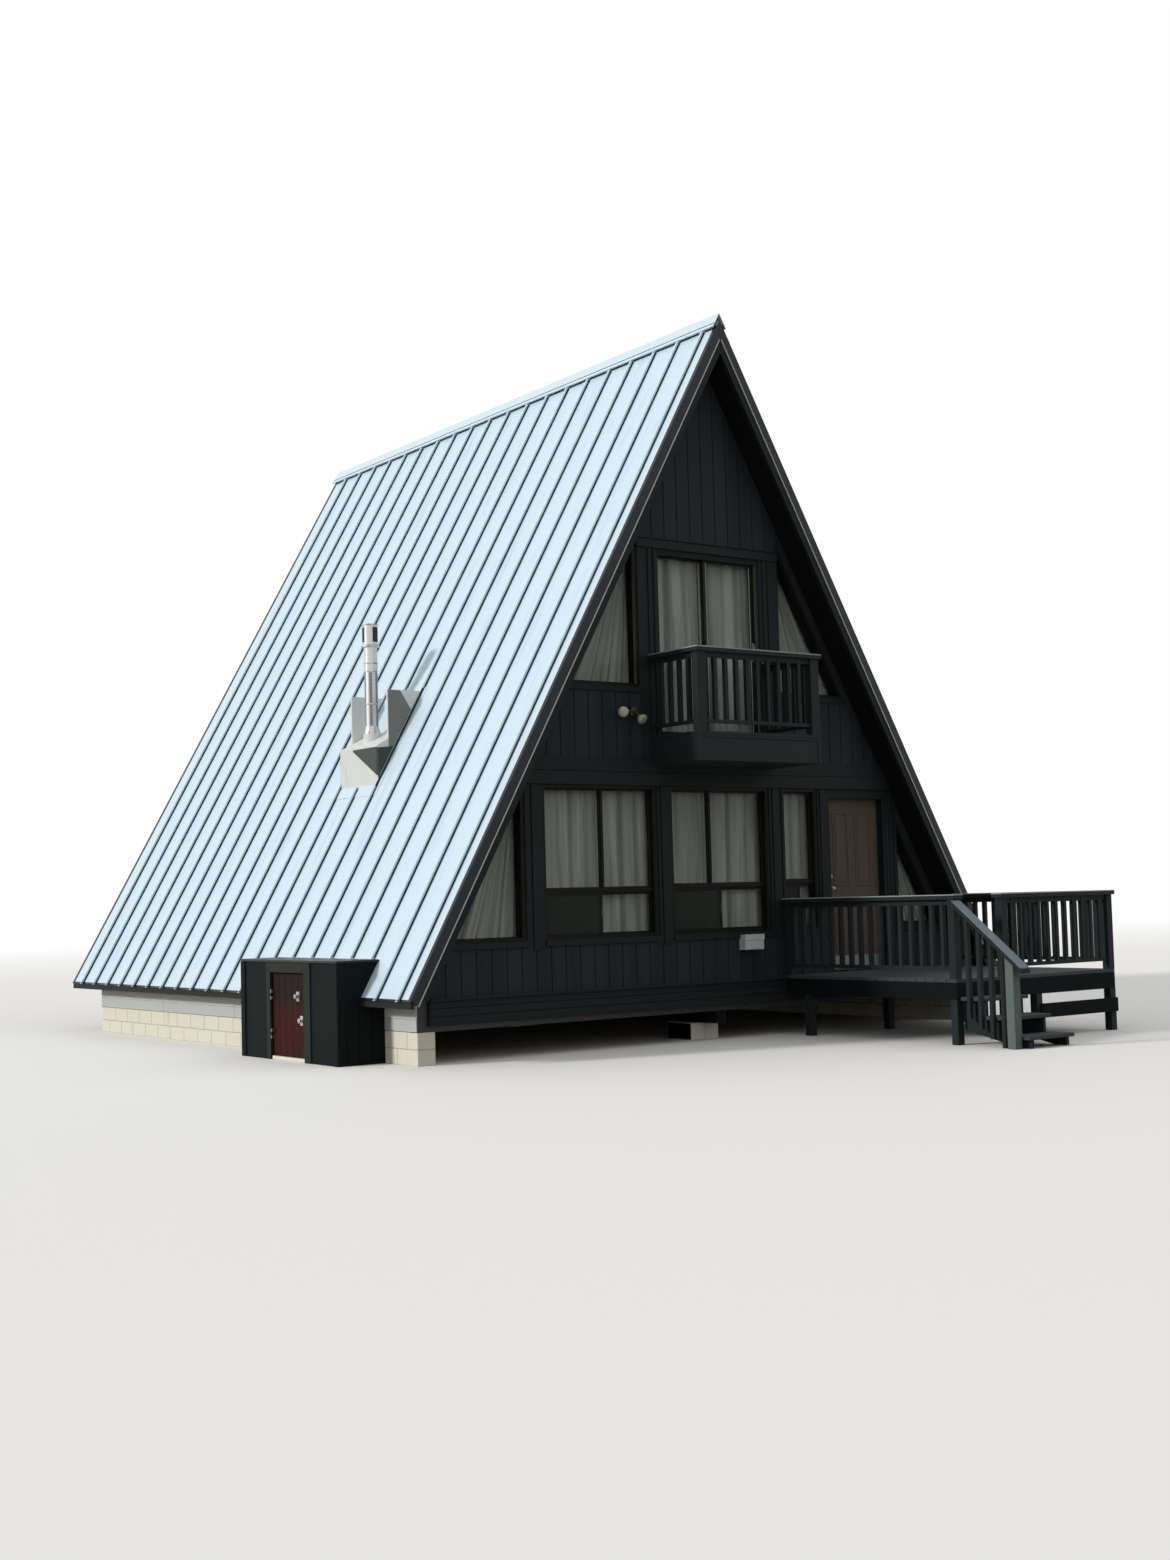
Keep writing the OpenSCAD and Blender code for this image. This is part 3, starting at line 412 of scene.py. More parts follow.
# Paints: colour, faded colour, scale of the grain, worn specks, gloss, and tone of the odd boards
PAINTS = {
    "siding": ((38, 44, 49), (47, 54, 59), (26, 26, 1.2), 0.05, 0.14, (30, 36, 41)),
    "dark_paint": ((25, 31, 32), (33, 39, 40), (2, 26, 26), 0.07),
    # The soffit paint is near-black: painted shade under the overhangs, and on the girder under the floor
    "soffit_shade_paint": ((22, 23, 24), (31, 31, 31), (26, 2, 26), 0.03, 0.06),
    "grey_paint": ((34, 40, 41), (42, 49, 51), (22, 22, 2.2)),
    "joist_paint": ((18, 24, 25), (25, 31, 32), (22, 22, 22), 0.05, 0.04),
    "rim_paint": ((200, 206, 202), (212, 217, 212), (24, 2.2, 24), 0.3),
    # The upper rim boards' white: partly their own paint, partly painted light against the eaves' shadow
    "rim_white_and_painted_light": ((240, 245, 242), (246, 249, 246), (24, 2.2, 24), 0.3),
    "jamb_wood": ((112, 112, 100), (92, 90, 78), (24, 24, 1.6)),
    "jamb_stain": ((52, 51, 43), (40, 39, 33), (24, 24, 1.6)),
    "deck_paint": ((58, 64, 68), (80, 87, 92), (2, 30, 30), 0.3),
    # Cap paint is pale as a painted highlight along the guards' tops, with wear
    "cap_highlight_paint": ((150, 160, 160), (184, 192, 190), (30, 2, 30), 0.35),
    "handrail_paint": ((88, 101, 110), (150, 163, 170), (34, 1.2, 34), 0.35),
    "post_paint": ((98, 109, 107), (114, 125, 122), (26, 26, 1.8), 0.3),
    "box_paint": ((18, 24, 24), (25, 31, 31), (26, 26, 1.6), 0.05, 0.06),
    "box_trim": ((38, 43, 38), (54, 57, 49), (26, 26, 1.6), 0.12, 0.08),
    "door_paint": ((100, 86, 75), (84, 71, 63), (20, 20, 1.8)),
}
# Painted metals: colour and worn colour
METALS = {
    "trim_metal": ((27, 33, 39), (38, 46, 53)),
    # Pale edge metal: a painted highlight on the rake drips, and the real pale metal of the slider's strips
    "pale_strip_and_highlight_metal": ((190, 194, 190), (214, 216, 208)),
    # Dark strips on the seams' flanks: painted shade
    "seam_shade_paint": ((26, 38, 48), (36, 50, 60)),
    "lamp_metal": ((52, 52, 46), (66, 65, 58)),
    # Dark chase boards and grey fin plates: painted shade
    "chase_shade_paint": ((52, 62, 54), (64, 74, 66)),
    "fin_shade_paint": ((118, 120, 114), (134, 135, 128)),
}

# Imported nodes: material, width of the softened edges, and names
DRESSING = (
    ("mortar", 0, "foundation_left foundation_right centre_piers"),
    ("raw_wood", 0, "roof_deck_left roof_deck_right loft_floor"),
    ("raw_wood", 0.006, "ground_floor"),
    # the girder's near-black soffit paint is painted shade
    ("soffit_shade_paint", 0.004, "girder"),
    ("roof_metal", 0.003, "roof_metal_left roof_metal_right"),
    ("ridge_metal", 0.002, "ridge_cap"),
    ("trim_metal", 0, "rake_trims"),
    ("trim_metal", 0.003, "side_box_roof"),
    ("box_trim", 0.003, "eave_fascias"),
    ("dark_paint", 0, "belly_band_front"),
    ("dark_paint", 0.003, "barge_boards"),
    ("dark_paint", 0.004, "sill_band_front bands_back entry_frame"),
    ("siding", 0, "wall_front_left wall_front_right wall_front_gable wall_back_ground wall_back_gable"),
    ("stained_wood", 0.003, "window_frames_front window_frames_back"),
    ("glass", 0, "window_glass_front window_glass_back"),
    ("grey_metal", 0.003, "curtain_rods"),
    ("grey_metal", 0.001, "door_hinges"),
    ("door_paint", 0.003, "entry_door"),
    ("grey_paint", 0.004, "balcony_rail deck_posts deck_rails stair_stringers stair_rail"),
    ("box_paint", 0.003, "side_walls side_door_head"),
    ("maroon_paint", 0.003, "side_door"),
    ("flashing", 0.004, "flue_chase"),
    # the pipe's metal carries painted reflections
    ("pipe_metal_painted_reflection", 0.002, "flue_pipe"),
    ("plastic", 0.006, "wall_box"),
)


def finishes():
    """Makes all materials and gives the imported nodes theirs."""
    roof_metal("roof_metal", 1)
    roof_metal("ridge_metal", 0.4)
    bright_metal("bright_metal")
    # dark streaks on the flue pipe: painted reflections
    bright_metal("pipe_metal_painted_reflection", (math.radians(29.7), 0.075, -1.782, 4.34))
    for name, row in METALS.items():
        trim_metal(name, *row)
    for name, row in PAINTS.items():
        painted_wood(name, *row)
    woods()
    stones()
    window_finishes()
    fitting_finishes()
    for material, bevel, names in DRESSING:
        for name in names.split():
            obj = NODES[name]
            obj.data.materials.clear()
            obj.data.materials.append(MATERIALS[material])
            soften(obj, bevel)


def soften(obj, width):
    """Bevels the sharp edges, where there is a width."""
    if width:
        modifier = obj.modifiers.new("edges", "BEVEL")
        modifier.width = width
        modifier.segments = 2
        modifier.limit_method = "ANGLE"
        modifier.angle_limit = math.radians(35)
        modifier.harden_normals = False


def linked(name, data):
    """A new object in the scene."""
    obj = bpy.data.objects.new(name, data)
    bpy.context.scene.collection.objects.link(obj)
    return obj


class Piece:
    """A mesh that is built up from bars, beams and prisms and then rides on a body."""

    def __init__(self):
        self.bm = bmesh.new()

    def hexa(self, corners):
        """A solid from eight corners: four round the bottom, then four above them."""
        v = [self.bm.verts.new(c) for c in corners]
        for face in ((3, 2, 1, 0), (4, 5, 6, 7), (0, 1, 5, 4), (1, 2, 6, 5), (2, 3, 7, 6), (3, 0, 4, 7)):
            self.bm.faces.new([v[i] for i in face])

    def bar(self, x, y, z):
        x, y = sorted(x), sorted(y)
        self.hexa([(x[i], y[j], z[k]) for k in (0, 1) for i, j in ((0, 0), (1, 0), (1, 1), (0, 1))])

    def slope_bar(self, side, along, y, height):
        """A bar that lies on a slope."""
        y = sorted(y)
        self.hexa([slope_point(side, along[i], y[j], h) for h in height
                   for i, j in ((0, 0), (1, 0), (1, 1), (0, 1))])

    def prism(self, outline, y):
        """An outline in X and Z, given anticlockwise seen from the front, run along Y."""
        front, back = ([self.bm.verts.new((x, at, z)) for x, z in outline] for at in sorted(y))
        self.bm.faces.new(front)
        self.bm.faces.new(back[::-1])
        for i in range(len(outline)):
            j = (i + 1) % len(outline)
            self.bm.faces.new((front[j], front[i], back[i], back[j]))

    def beam(self, p, q, width, height, up):
        """A bar from one point to another, its middle line between them."""
        side = (q - p).cross(up).normalized() * width / 2
        rise = side.cross(q - p).normalized() * height / 2
        self.hexa([e + a * side + b * rise for b in (-1, 1) for e, a in ((p, -1), (q, -1), (q, 1), (p, 1))])

    def tube(self, centre, axis, profile, sides=32):
        """A turned shape: (distance along the axis, radius) from one end to the other."""
        axis = Vector(axis).normalized()
        u = axis.orthogonal().normalized()
        v = axis.cross(u)
        turns = [2 * math.pi * i / sides for i in range(sides)]
        rings = [[self.bm.verts.new(Vector(centre) + axis * along + (u * math.cos(a) + v * math.sin(a)) * radius)
                  for a in turns] for along, radius in profile]
        for a, b in zip(rings, rings[1:]):
            for i in range(sides):
                j = (i + 1) % sides
                self.bm.faces.new((a[i], a[j], b[j], b[i]))
        self.bm.faces.new(rings[0][::-1])
        self.bm.faces.new(rings[-1])

    def done(self, name, material, bevel=0, body=HOUSE, smooth=False, cut=None):
        bmesh.ops.recalc_face_normals(self.bm, faces=self.bm.faces)
        mesh = bpy.data.meshes.new(name)
        self.bm.to_mesh(mesh)
        self.bm.free()
        mesh.materials.append(MATERIALS[material])
        if smooth:
            mesh.shade_smooth()
            mesh.set_sharp_from_angle(angle=math.radians(38))
        obj = linked(name, mesh)
        if cut is not None:
            trim_to(obj, *cut)
        soften(obj, bevel)
        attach(obj, body)
        return obj


def trim_to(obj, node, shift):
    """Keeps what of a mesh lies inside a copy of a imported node, shifted along Y."""
    cutter = linked("cutter", NODES[node].data.copy())
    cutter.data.transform(Matrix.Translation((0, shift, 0)))
    modifier = obj.modifiers.new("trim", "BOOLEAN")
    modifier.operation = "INTERSECT"
    modifier.solver = "EXACT"
    modifier.object = cutter
    bpy.context.view_layer.update()
    graph = bpy.context.evaluated_depsgraph_get()
    mesh = bpy.data.meshes.new_from_object(obj.evaluated_get(graph))
    obj.modifiers.clear()
    obj.data = mesh
    bpy.data.objects.remove(cutter)


def seam_stretches(side, y):
    """Where along the slope a seam runs, broken by the side box and by the flue."""
    foot, top = 0, RIDGE_EDGE - 0.018
    if side < 0 and BOX_Y[0] - 0.02 < y < BOX_Y[1] + 0.02:
        foot = up_slope(BOX_TOP + 0.024)
    if side < 0 and CHASE_Y[0] - 0.012 < y < CHASE_Y[1]:
        return [(foot, up_slope(CHASE_FOOT_Z) - 0.03), (up_slope(FIN_TOP_Z) + 0.03, top)]
    return [(foot, top)]


def seam_hems():
    """The folded hem along the top of each standing seam, and painted shade on the lower half of its two flanks.
    """
    for side, name in ((-1, "left"), (1, "right")):
        hems, shade_flanks = Piece(), Piece()
        for y in SEAM_YS:
            for low, high in seam_stretches(side, y):
                hems.slope_bar(side, (low, high), (y - 0.016, y + 0.013), (SEAM_H - 0.016, SEAM_H + 0.003))
                # painted shade: a dark strip on the lower half of each flank
                for s in (-1, 1):
                    faces = (y + s * FLANK[0], y + s * FLANK[1])
                    shade_flanks.slope_bar(side, (low + 0.004, high), faces, (HAIR, SEAM_H / 2))
        hems.done(f"seam_hems_{name}", "roof_metal", 0.002)
        shade_flanks.done(f"seam_flank_shade_{name}", "seam_shade_paint")


def eave_edges():
    """Drip edges folded under the sheets at the eaves, and the closed ends of the seams."""
    edges = Piece()
    for side, y0, y1 in ((-1, -RAKE_Y, BOX_Y[0]), (-1, BOX_Y[1], RAKE_Y), (1, -RAKE_Y, RAKE_Y)):
        edges.slope_bar(side, (-0.004, 0.022), (y0, y1), (-0.040, 0.004))
        for y in SEAM_YS:
            if y0 < y < y1:
                edges.slope_bar(side, (-0.006, -HAIR), (y - 0.018, y + 0.015), (0.0045, SEAM_H + 0.004))
    edges.done("eave_edges", "trim_metal", 0.0015)


def ridge_details():
    """Closures between the seams under the ridge cap, a dark line on the cap that is the painted shadow of its
    fold, and the cap's hems.
    """
    closures, hems = Piece(), Piece()
    ends = [-RAKE_Y] + SEAM_YS + [RAKE_Y]
    whole = (-RAKE_Y, RAKE_Y)
    e, h = RIDGE_EDGE, SEAM_H
    for side in (-1, 1):
        for a, b in zip(ends, ends[1:]):
            closures.slope_bar(side, (e + 0.008, e + 0.04), (a + 0.013, b - 0.013), (0, h))
        # painted shadow: a dark line on the cap where its hem folds
        closures.slope_bar(side, (e + 0.034, e + 0.046), whole, (h + 0.003, h + 0.0072))
        hems.slope_bar(side, (e - 0.014, e + 0.004), whole, (h - 0.006, h + 0.011))
    closures.done("ridge_closures_and_shade_line", "gasket")
    hems.done("ridge_hems", "ridge_metal", 0.001)


def rake_hems():
    """The rake trim's folded lip over the sheet and the drip along its lower edge, painted pale as a highlight
    where the light catches it.
    """
    lips, drip_highlights = Piece(), Piece()
    for end in (-1, 1):
        y = end * (RAKE_Y + 0.003)
        for side in (-1, 1):
            lips.slope_bar(side, (0, RIDGE_EDGE + 0.03), (y + end * 0.002, y - end * 0.05), (0, 0.006))
            # painted highlight: a pale drip along the rake trim's lower edge
            drip_highlights.slope_bar(side, (0, SLOPE_LEN - 0.2), (y + end * 0.009, y - end * 0.004),
                            (-RAKE_D - 0.002, -RAKE_D + 0.010))
    lips.done("rake_lips", "trim_metal", 0.0015)
    drip_highlights.done("rake_drip_highlights", "pale_strip_and_highlight_metal", 0.002)


def soffits():
    """Boards under the overhang at both ends, near-black as painted shade under the overhang."""
    boards = Piece()
    depth = DECK_DEPTH + 0.014
    top = (ROOF_HALF - depth * math.sin(PITCH)) / math.cos(PITCH)
    near, far = WALL_Y + 0.0105, RAKE_Y - 0.031
    for side in (-1, 1):
        for end in (-1, 1):
            for y0, y1 in ((near, WALL_Y + 0.158), (WALL_Y + 0.162, far)):
                boards.slope_bar(side, (0.12, top), (end * y0, end * y1), (-depth, -DECK_DEPTH - HAIR))
    peak = EAVE_Z + ROOF_HALF * SLOPE - DECK_DEPTH / math.cos(PITCH)
    for end in (-1, 1):
        boards.prism([(-0.024, peak - 0.045), (0.024, peak - 0.045), (0, peak - 0.001)],
                     (end * near, end * far))
    boards.done("soffit_boards", "soffit_shade_paint", 0.002)


def siding(name, node, end):
    """Grooved boards over one end wall, cut to the wall's own outline and openings."""
    boards = Piece()
    low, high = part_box(node)
    start = BOARD_START + math.floor((low.x - BOARD_START) / BOARD_PITCH) * BOARD_PITCH
    for i in range(int((high.x - low.x) / BOARD_PITCH) + 2):
        x = start + i * BOARD_PITCH
        boards.bar((x + GROOVE / 2, x + BOARD_PITCH - GROOVE / 2),
                   (end * (WALL_Y + 0.010), end * (WALL_Y - 0.003)), (low.z - 0.01, high.z + 0.01))
    boards.done(name, "siding", 0.003, cut=(node, end * 0.012))


def belly_boards(name, end):
    """Two boards across an end wall between the slopes, with an open joint between them."""
    boards = Piece()
    joint = 2.98
    for low, high in ((HEAD_Z, joint), (joint, BELLY_TOP)):
        low, high = low + 0.003, high - 0.003
        a, b = roof_x(low, DECK_DEPTH), roof_x(high, DECK_DEPTH)
        boards.prism([(-a, low), (a, low), (b, high), (-b, high)],
                     (end * (WALL_Y + 0.042), end * (WALL_Y + 0.028)))
    boards.done(name, "dark_paint", 0.003)


def sill_boards():
    boards = Piece()
    for z in ((0.392, 0.474), (0.480, 0.556), (0.562, 0.640)):
        boards.bar((-3.83, 3.83), (FRONT - 0.044, FRONT - 0.028), z)
    boards.bar((-3.83, 0.965), (FRONT - 0.072, FRONT - 0.055), (0.634, 0.664))
    boards.done("sill_boards", "dark_paint", 0.005)


def trim_board(piece, x, z, proud=0.026, end=-1):
    piece.bar(x, (end * (WALL_Y + proud), end * (WALL_Y - 0.002)), z)


def post_boards(piece, x, z, cuts, proud=(0.016, 0.028)):
    """Upright boards side by side over a post, with open joints and every other board prouder."""
    edges = [0, *cuts, 1]
    for i, (a, b) in enumerate(zip(edges, edges[1:])):
        x0, x1 = x[0] + (x[1] - x[0]) * a, x[0] + (x[1] - x[0]) * b
        trim_board(piece, (x0 + 0.003, x1 - 0.003), z, proud[i % 2])


def window_casings():
    """Boards over the posts between the front openings, and their sills."""
    casings = Piece()
    left, middle, right = (w["x"] for w in WINDOWS)
    for x, cuts in (((-2.61, left[0]), (0.34, 0.78)), ((left[1], middle[0]), (0.24, 0.8)),
                    ((middle[1], right[0]), (0.2, 0.56, 0.86)), ((right[1], 1.715), (0.22, 0.8)),
                    ((2.765, 2.85), (0.5,))):
        post_boards(casings, x, (SILL_Z - 0.09, HEAD_Z - 0.003), cuts)
    sills = [(x0 + 0.006, x1 - 0.006) for x0, x1 in (left, middle, right)]
    sills += [(c["s"] * (c["x"] + 0.006), c["s"] * (c["x"] + c["w"] + 0.03)) for c in CORNERS[:2]]
    for x in sills:
        trim_board(casings, x, (SILL_Z - 0.06, SILL_Z + 0.002), 0.034)
    casings.done("window_casings", "dark_paint", 0.003)


def gable_casings():
    """Boards beside and over the sliding door and under the upper three-cornered windows."""
    casings = Piece()
    for s, cuts in ((-1, (0.54, 0.7, 0.84)), (1, (0.16, 0.3, 0.46))):
        post_boards(casings, sorted((s * 0.763, s * 1.03)), (3.38, 5.486), cuts, (0.014, 0.026))
        trim_board(casings, (s * 1.04, s * 2.06), (3.86, 3.922), 0.03)
    trim_board(casings, (-1.045, 1.045), (5.488, 5.585), 0.036)
    trim_board(casings, (-1.06, 1.06), (5.588, 5.602), 0.05)
    casings.done("gable_casings", "dark_paint", 0.003)


def sash(piece, x, z, width, y=(PANE - 0.012, PANE + 0.036)):
    """A frame of four rails round one pane."""
    piece.bar((x[0], x[0] + width), y, z)
    piece.bar((x[1] - width, x[1]), y, z)
    piece.bar((x[0] + width, x[1] - width), y, (z[0], z[0] + width))
    piece.bar((x[0] + width, x[1] - width), y, (z[1] - width, z[1]))


def corner_opening(c):
    """Side of the house, inner side, sill and width inside the frame of a three-cornered window."""
    return c["s"], c["x"] + FRAME_T, c["z"] + FRAME_T, c["w"] - 2.9 * FRAME_T


def window_bars():
    """Sashes, mullions and transoms of the front windows, and the screens of the opening sashes."""
    bars, gaskets, screens, latches = Piece(), Piece(), Piece(), Piece()
    head, sill = HEAD_Z - FRAME_T, SILL_Z + FRAME_T
    for w in WINDOWS:
        x0, x1 = w["x"][0] + FRAME_T, w["x"][1] - FRAME_T
        t, upper, lower = w["transom"], w["upper"], w["lower"]
        bars.bar((x0, x1), (PANE - 0.03, PANE + 0.04), (t - 0.02, t + 0.02))
        bars.bar((x0, x1), (PANE - 0.042, PANE - 0.03), (t - 0.008, t + 0.012))
        uppers = [x0, x1] if upper is None else [x0, upper, x1]
        for a, b in zip(uppers, uppers[1:]):
            sash(bars, (a, b), (t + 0.02, head), 0.016)
            sash(gaskets, (a + 0.016, b - 0.016), (t + 0.036, head - 0.016), 0.006, (PANE - 0.004, PANE))
        if upper is not None:
            bars.bar((upper - 0.017, upper + 0.017), (PANE - 0.026, PANE + 0.038), (t + 0.02, head))
        sash(bars, (x0, lower + 0.018), (sill, t - 0.02), 0.026, (PANE - 0.03, PANE - 0.006))
        sash(bars, (lower - 0.018, x1), (sill, t - 0.02), 0.026, (PANE - 0.006, PANE + 0.03))
        screens.bar((x0 + 0.022, lower - 0.006), (PANE - 0.024, PANE - 0.022), (sill + 0.022, t - 0.042))
        middle = (sill + t) / 2
        latches.bar((lower - 0.012, lower + 0.012), (PANE - 0.04, PANE - 0.03), (middle - 0.05, middle + 0.05))
    for c in CORNERS:
        s, x, z, w = corner_opening(c)
        y = (PANE - 0.014, PANE - 0.002)
        bars.bar((s * x, s * (x + 0.016)), y, (z, z + (w - 0.016) * SLOPE))
        bars.bar((s * (x + 0.016), s * (x + w - 0.01)), y, (z, z + 0.016))
    bars.done("window_sashes", "stained_wood", 0.002)
    gaskets.done("window_gaskets", "gasket")
    screens.done("insect_screens", "insect_screen")
    latches.done("sash_latches", "gasket", 0.003)


def jamb_liners():
    """Thin weathered boards on the upright jambs of the front windows, in front of the sashes."""
    liners, stained = Piece(), Piece()
    y = (FRONT + 0.003, PANE - 0.0435)
    for w in WINDOWS:
        for x in (w["x"][0] + FRAME_T, w["x"][1] - FRAME_T - 0.004):
            stained.bar((x, x + 0.004), y, (SILL_Z + FRAME_T + 0.001, HEAD_Z - FRAME_T - 0.001))
    half = SLIDER_HALF - FRAME_T
    for x in (-half, half - 0.004):
        liners.bar((x, x + 0.004), y, (SLIDER_Z[0] + FRAME_T + 0.013, SLIDER_Z[1] - FRAME_T - 0.023))
    for c in CORNERS:
        s, x, z, w = corner_opening(c)
        piece = liners if z > HEAD_Z else stained
        piece.bar((s * x, s * (x + 0.004)), y, (z + 0.001, z + w * SLOPE))
    liners.done("jamb_liners", "jamb_wood", 0.001)
    stained.done("jamb_liners_ground", "jamb_stain", 0.001)


def slider_parts():
    """Frame, leaves, bright edge strips, track and pull of the upper sliding door, whose panes reach the
    slender meeting stiles."""
    bars, strips, pulls, edges = Piece(), Piece(), Piece(), Piece()
    sash(bars, (-SLIDER_HALF, SLIDER_HALF), SLIDER_Z, FRAME_T, (FRONT, -WALL_IN))
    z0, z1 = SLIDER_Z[0] + FRAME_T, SLIDER_Z[1] - FRAME_T
    half = SLIDER_HALF - FRAME_T
    meet = 0.02
    outer = (PANE - 0.0185, PANE - HAIR)
    inner = (PANE + GLASS_T + HAIR, PANE + GLASS_T + 0.0195)
    sash(bars, (-half, meet), (z0, z1), 2 * meet, inner)
    sash(bars, (-meet, half), (z0, z1), 2 * meet, outer)
    for z in ((z0 + HAIR, z0 + 0.012), (z1 - 0.022, z1 - HAIR)):
        bars.bar((-half, half), (FRONT + 0.004, FRONT + 0.060), z)
    for x in ((meet + HAIR, meet + 0.006), (half - 0.046, half - 0.0405)):
        strips.bar(x, (outer[0] + 0.002, outer[0] + 0.012), (z0 + 0.041, z1 - 0.041))
    pulls.bar((half - 0.034, half - 0.012), (outer[0] - 0.018, outer[0]), (4.3, 4.52))
    pulls.bar((half - 0.032, half - 0.014), (outer[0] - 0.032, outer[0] - 0.018), (4.33, 4.49))
    frame_piece = bars.done("slider_leaves", "dark_paint", 0.003)
    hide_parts("slider_frame")
    strips.done("slider_strips", "pale_strip_and_highlight_metal", 0.001)
    pulls.done("slider_pull", "grey_metal", 0.004)
    for s in (-1, 1):
        edges.bar((s * (meet + HAIR), s * (FRAME_T - 0.0002)), (PANE, PANE + GLASS_T),
                  (SLIDER_Z[0] + 2 * FRAME_T, SLIDER_Z[1] - 2 * FRAME_T))
    edges.done("slider_pane_edges", "glass")


def back_bars():
    bars, casings = Piece(), Piece()
    for x0, x1, z0, z1 in BACK_WINDOWS:
        xm = (x0 + x1) / 2
        z = (z0 + FRAME_T, z1 - FRAME_T)
        sash(bars, (x0 + FRAME_T, xm + 0.018), z, 0.036, (GLASS_Y - 0.03, GLASS_Y - 0.002))
        sash(bars, (xm - 0.018, x1 - FRAME_T), z, 0.036, (GLASS_Y + 0.002, GLASS_Y + 0.03))
        for x in ((x0 - 0.08, x0 + 0.004), (x1 - 0.004, x1 + 0.08)):
            trim_board(casings, x, (z0 - 0.08, z1 + 0.08), end=1)
        trim_board(casings, (x0 + 0.006, x1 - 0.006), (z1 - 0.002, z1 + 0.08), end=1)
        trim_board(casings, (x0 + 0.006, x1 - 0.006), (z0 - 0.07, z0 + 0.002), 0.034, end=1)
    bars.done("back_sashes", "stained_wood", 0.003)
    casings.done("back_casings", "dark_paint", 0.003)


def hang(name, columns, rows, point):
    """Makes a gathered curtain; point gives a place in the house and the place on the cloth, with its fold."""
    bm = bmesh.new()
    weft = bm.verts.layers.float_vector.new("weft")
    verts = []
    for i in range(columns + 1):
        verts.append([])
        for r in range(rows + 1):
            place, cloth = point(i / columns, r / rows)
            verts[i].append(bm.verts.new(place))
            verts[i][r][weft] = cloth
    for a, b in zip(verts, verts[1:]):
        for r in range(rows):
            bm.faces.new((a[r], b[r], b[r + 1], a[r + 1]))
    area = sum(f.calc_area() for f in bm.faces)
    mesh = bpy.data.meshes.new(name)
    bm.to_mesh(mesh)
    bm.free()
    mesh.shade_smooth()
    mesh.materials.append(MATERIALS["curtain_cloth"])
    obj = linked(name, mesh)
    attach(obj, HOUSE)
    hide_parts("curtains_front")


def waves(rng, pitch):
    """Loose folds: a few waves of different lengths, each with a drift of its own down the cloth."""
    parts = []
    for scale, size in ((1, 0.5), (0.57, 0.24), (1.9, 0.26)):
        parts.append((2 * math.pi / (pitch * scale), size, rng.uniform(0, 6.28), rng.uniform(-0.5, 0.5)))

    def offset(x, drop):
        bent = x + 0.02 * math.sin(x * 9 + parts[0][2])
        wave = sum(size * math.sin(rate * bent + start + drift * drop) for rate, size, start, drift in parts)
        return math.copysign(abs(wave) ** 0.8, wave)
    return offset


def pleated(name, x, z, pitch, seed, sag):
    """A curtain that hangs in loose pleats under a rod, its heading sagging between the hooks."""
    offset = waves(random.Random(seed), pitch)
    hooks = 7
    width, length = x[1] - x[0], z[1] - z[0]

    def point(t, drop):
        at = x[0] + width * t
        top = z[1] - sag * abs(math.sin(math.pi * hooks * t)) ** 0.7 * (0.5 + 0.5 * math.sin(5 * t + seed))
        fold = offset(at, drop)
        return ((at + 0.004 * math.sin(7 * at + 2.5 * drop), CURTAIN_Y + ROOM * fold * (0.8 + 0.2 * drop),
                 top + (z[0] - top) * drop), (at + seed, drop * length, fold))

    hang(name, int(width / 0.0065), 30, point)


def fan_curtain(c, seed):
    """A three-cornered curtain whose pleats fan out from the top of its upright side."""
    s, inner, foot = c["s"], c["x"] - 0.02, c["z"] - 0.06
    width = roof_x(foot, LINING_DEPTH + 0.001) - inner
    length = width * SLOPE
    offset = waves(random.Random(seed), 1 / c["folds"])
    head = 0.03

    def point(t, drop):
        x, z = inner + head * t, foot + length - 0.002 - head * t * SLOPE
        fold = offset(t, drop)
        return ((s * (x + (inner + width * t - x) * drop), CURTAIN_Y + min(ROOM, 0.004 + 0.03 * drop) * fold,
                 z + (foot - z) * drop), (t * width + seed, drop, fold))

    hang(f"curtain_{c['name']}", 120, 32, point)


def curtains():
    for i, w in enumerate(WINDOWS):
        x0, x1 = w["x"]
        middle = x1 - 0.3 if w["upper"] is None else w["upper"]
        for k, x in enumerate(((x0 - 0.02, middle - 0.003), (middle + 0.003, x1 + 0.02))):
            pleated(f"curtain_{w['name']}_{k + 1}", x, (SILL_Z - 0.06, HEAD_Z + 0.0115), 0.23,
                    11 + 7 * i + k, 0.006)
    z = (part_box("loft_floor")[1].z + 0.015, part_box("curtains_front")[1].z)
    for k, x in enumerate(((-SLIDER_HALF - 0.02, -0.003), (0.003, SLIDER_HALF + 0.02))):
        pleated(f"curtain_slider_{k + 1}", x, z, 0.24, 21 + 5 * k, 0.05)
    for i, c in enumerate(CORNERS):
        fan_curtain(c, 31 + i)


def clipped(a, b, hole):
    """The parts of a stretch outside a hole."""
    return [(c, d) for c, d in ((a, min(b, hole[0])), (max(a, hole[1]), b)) if d > c]


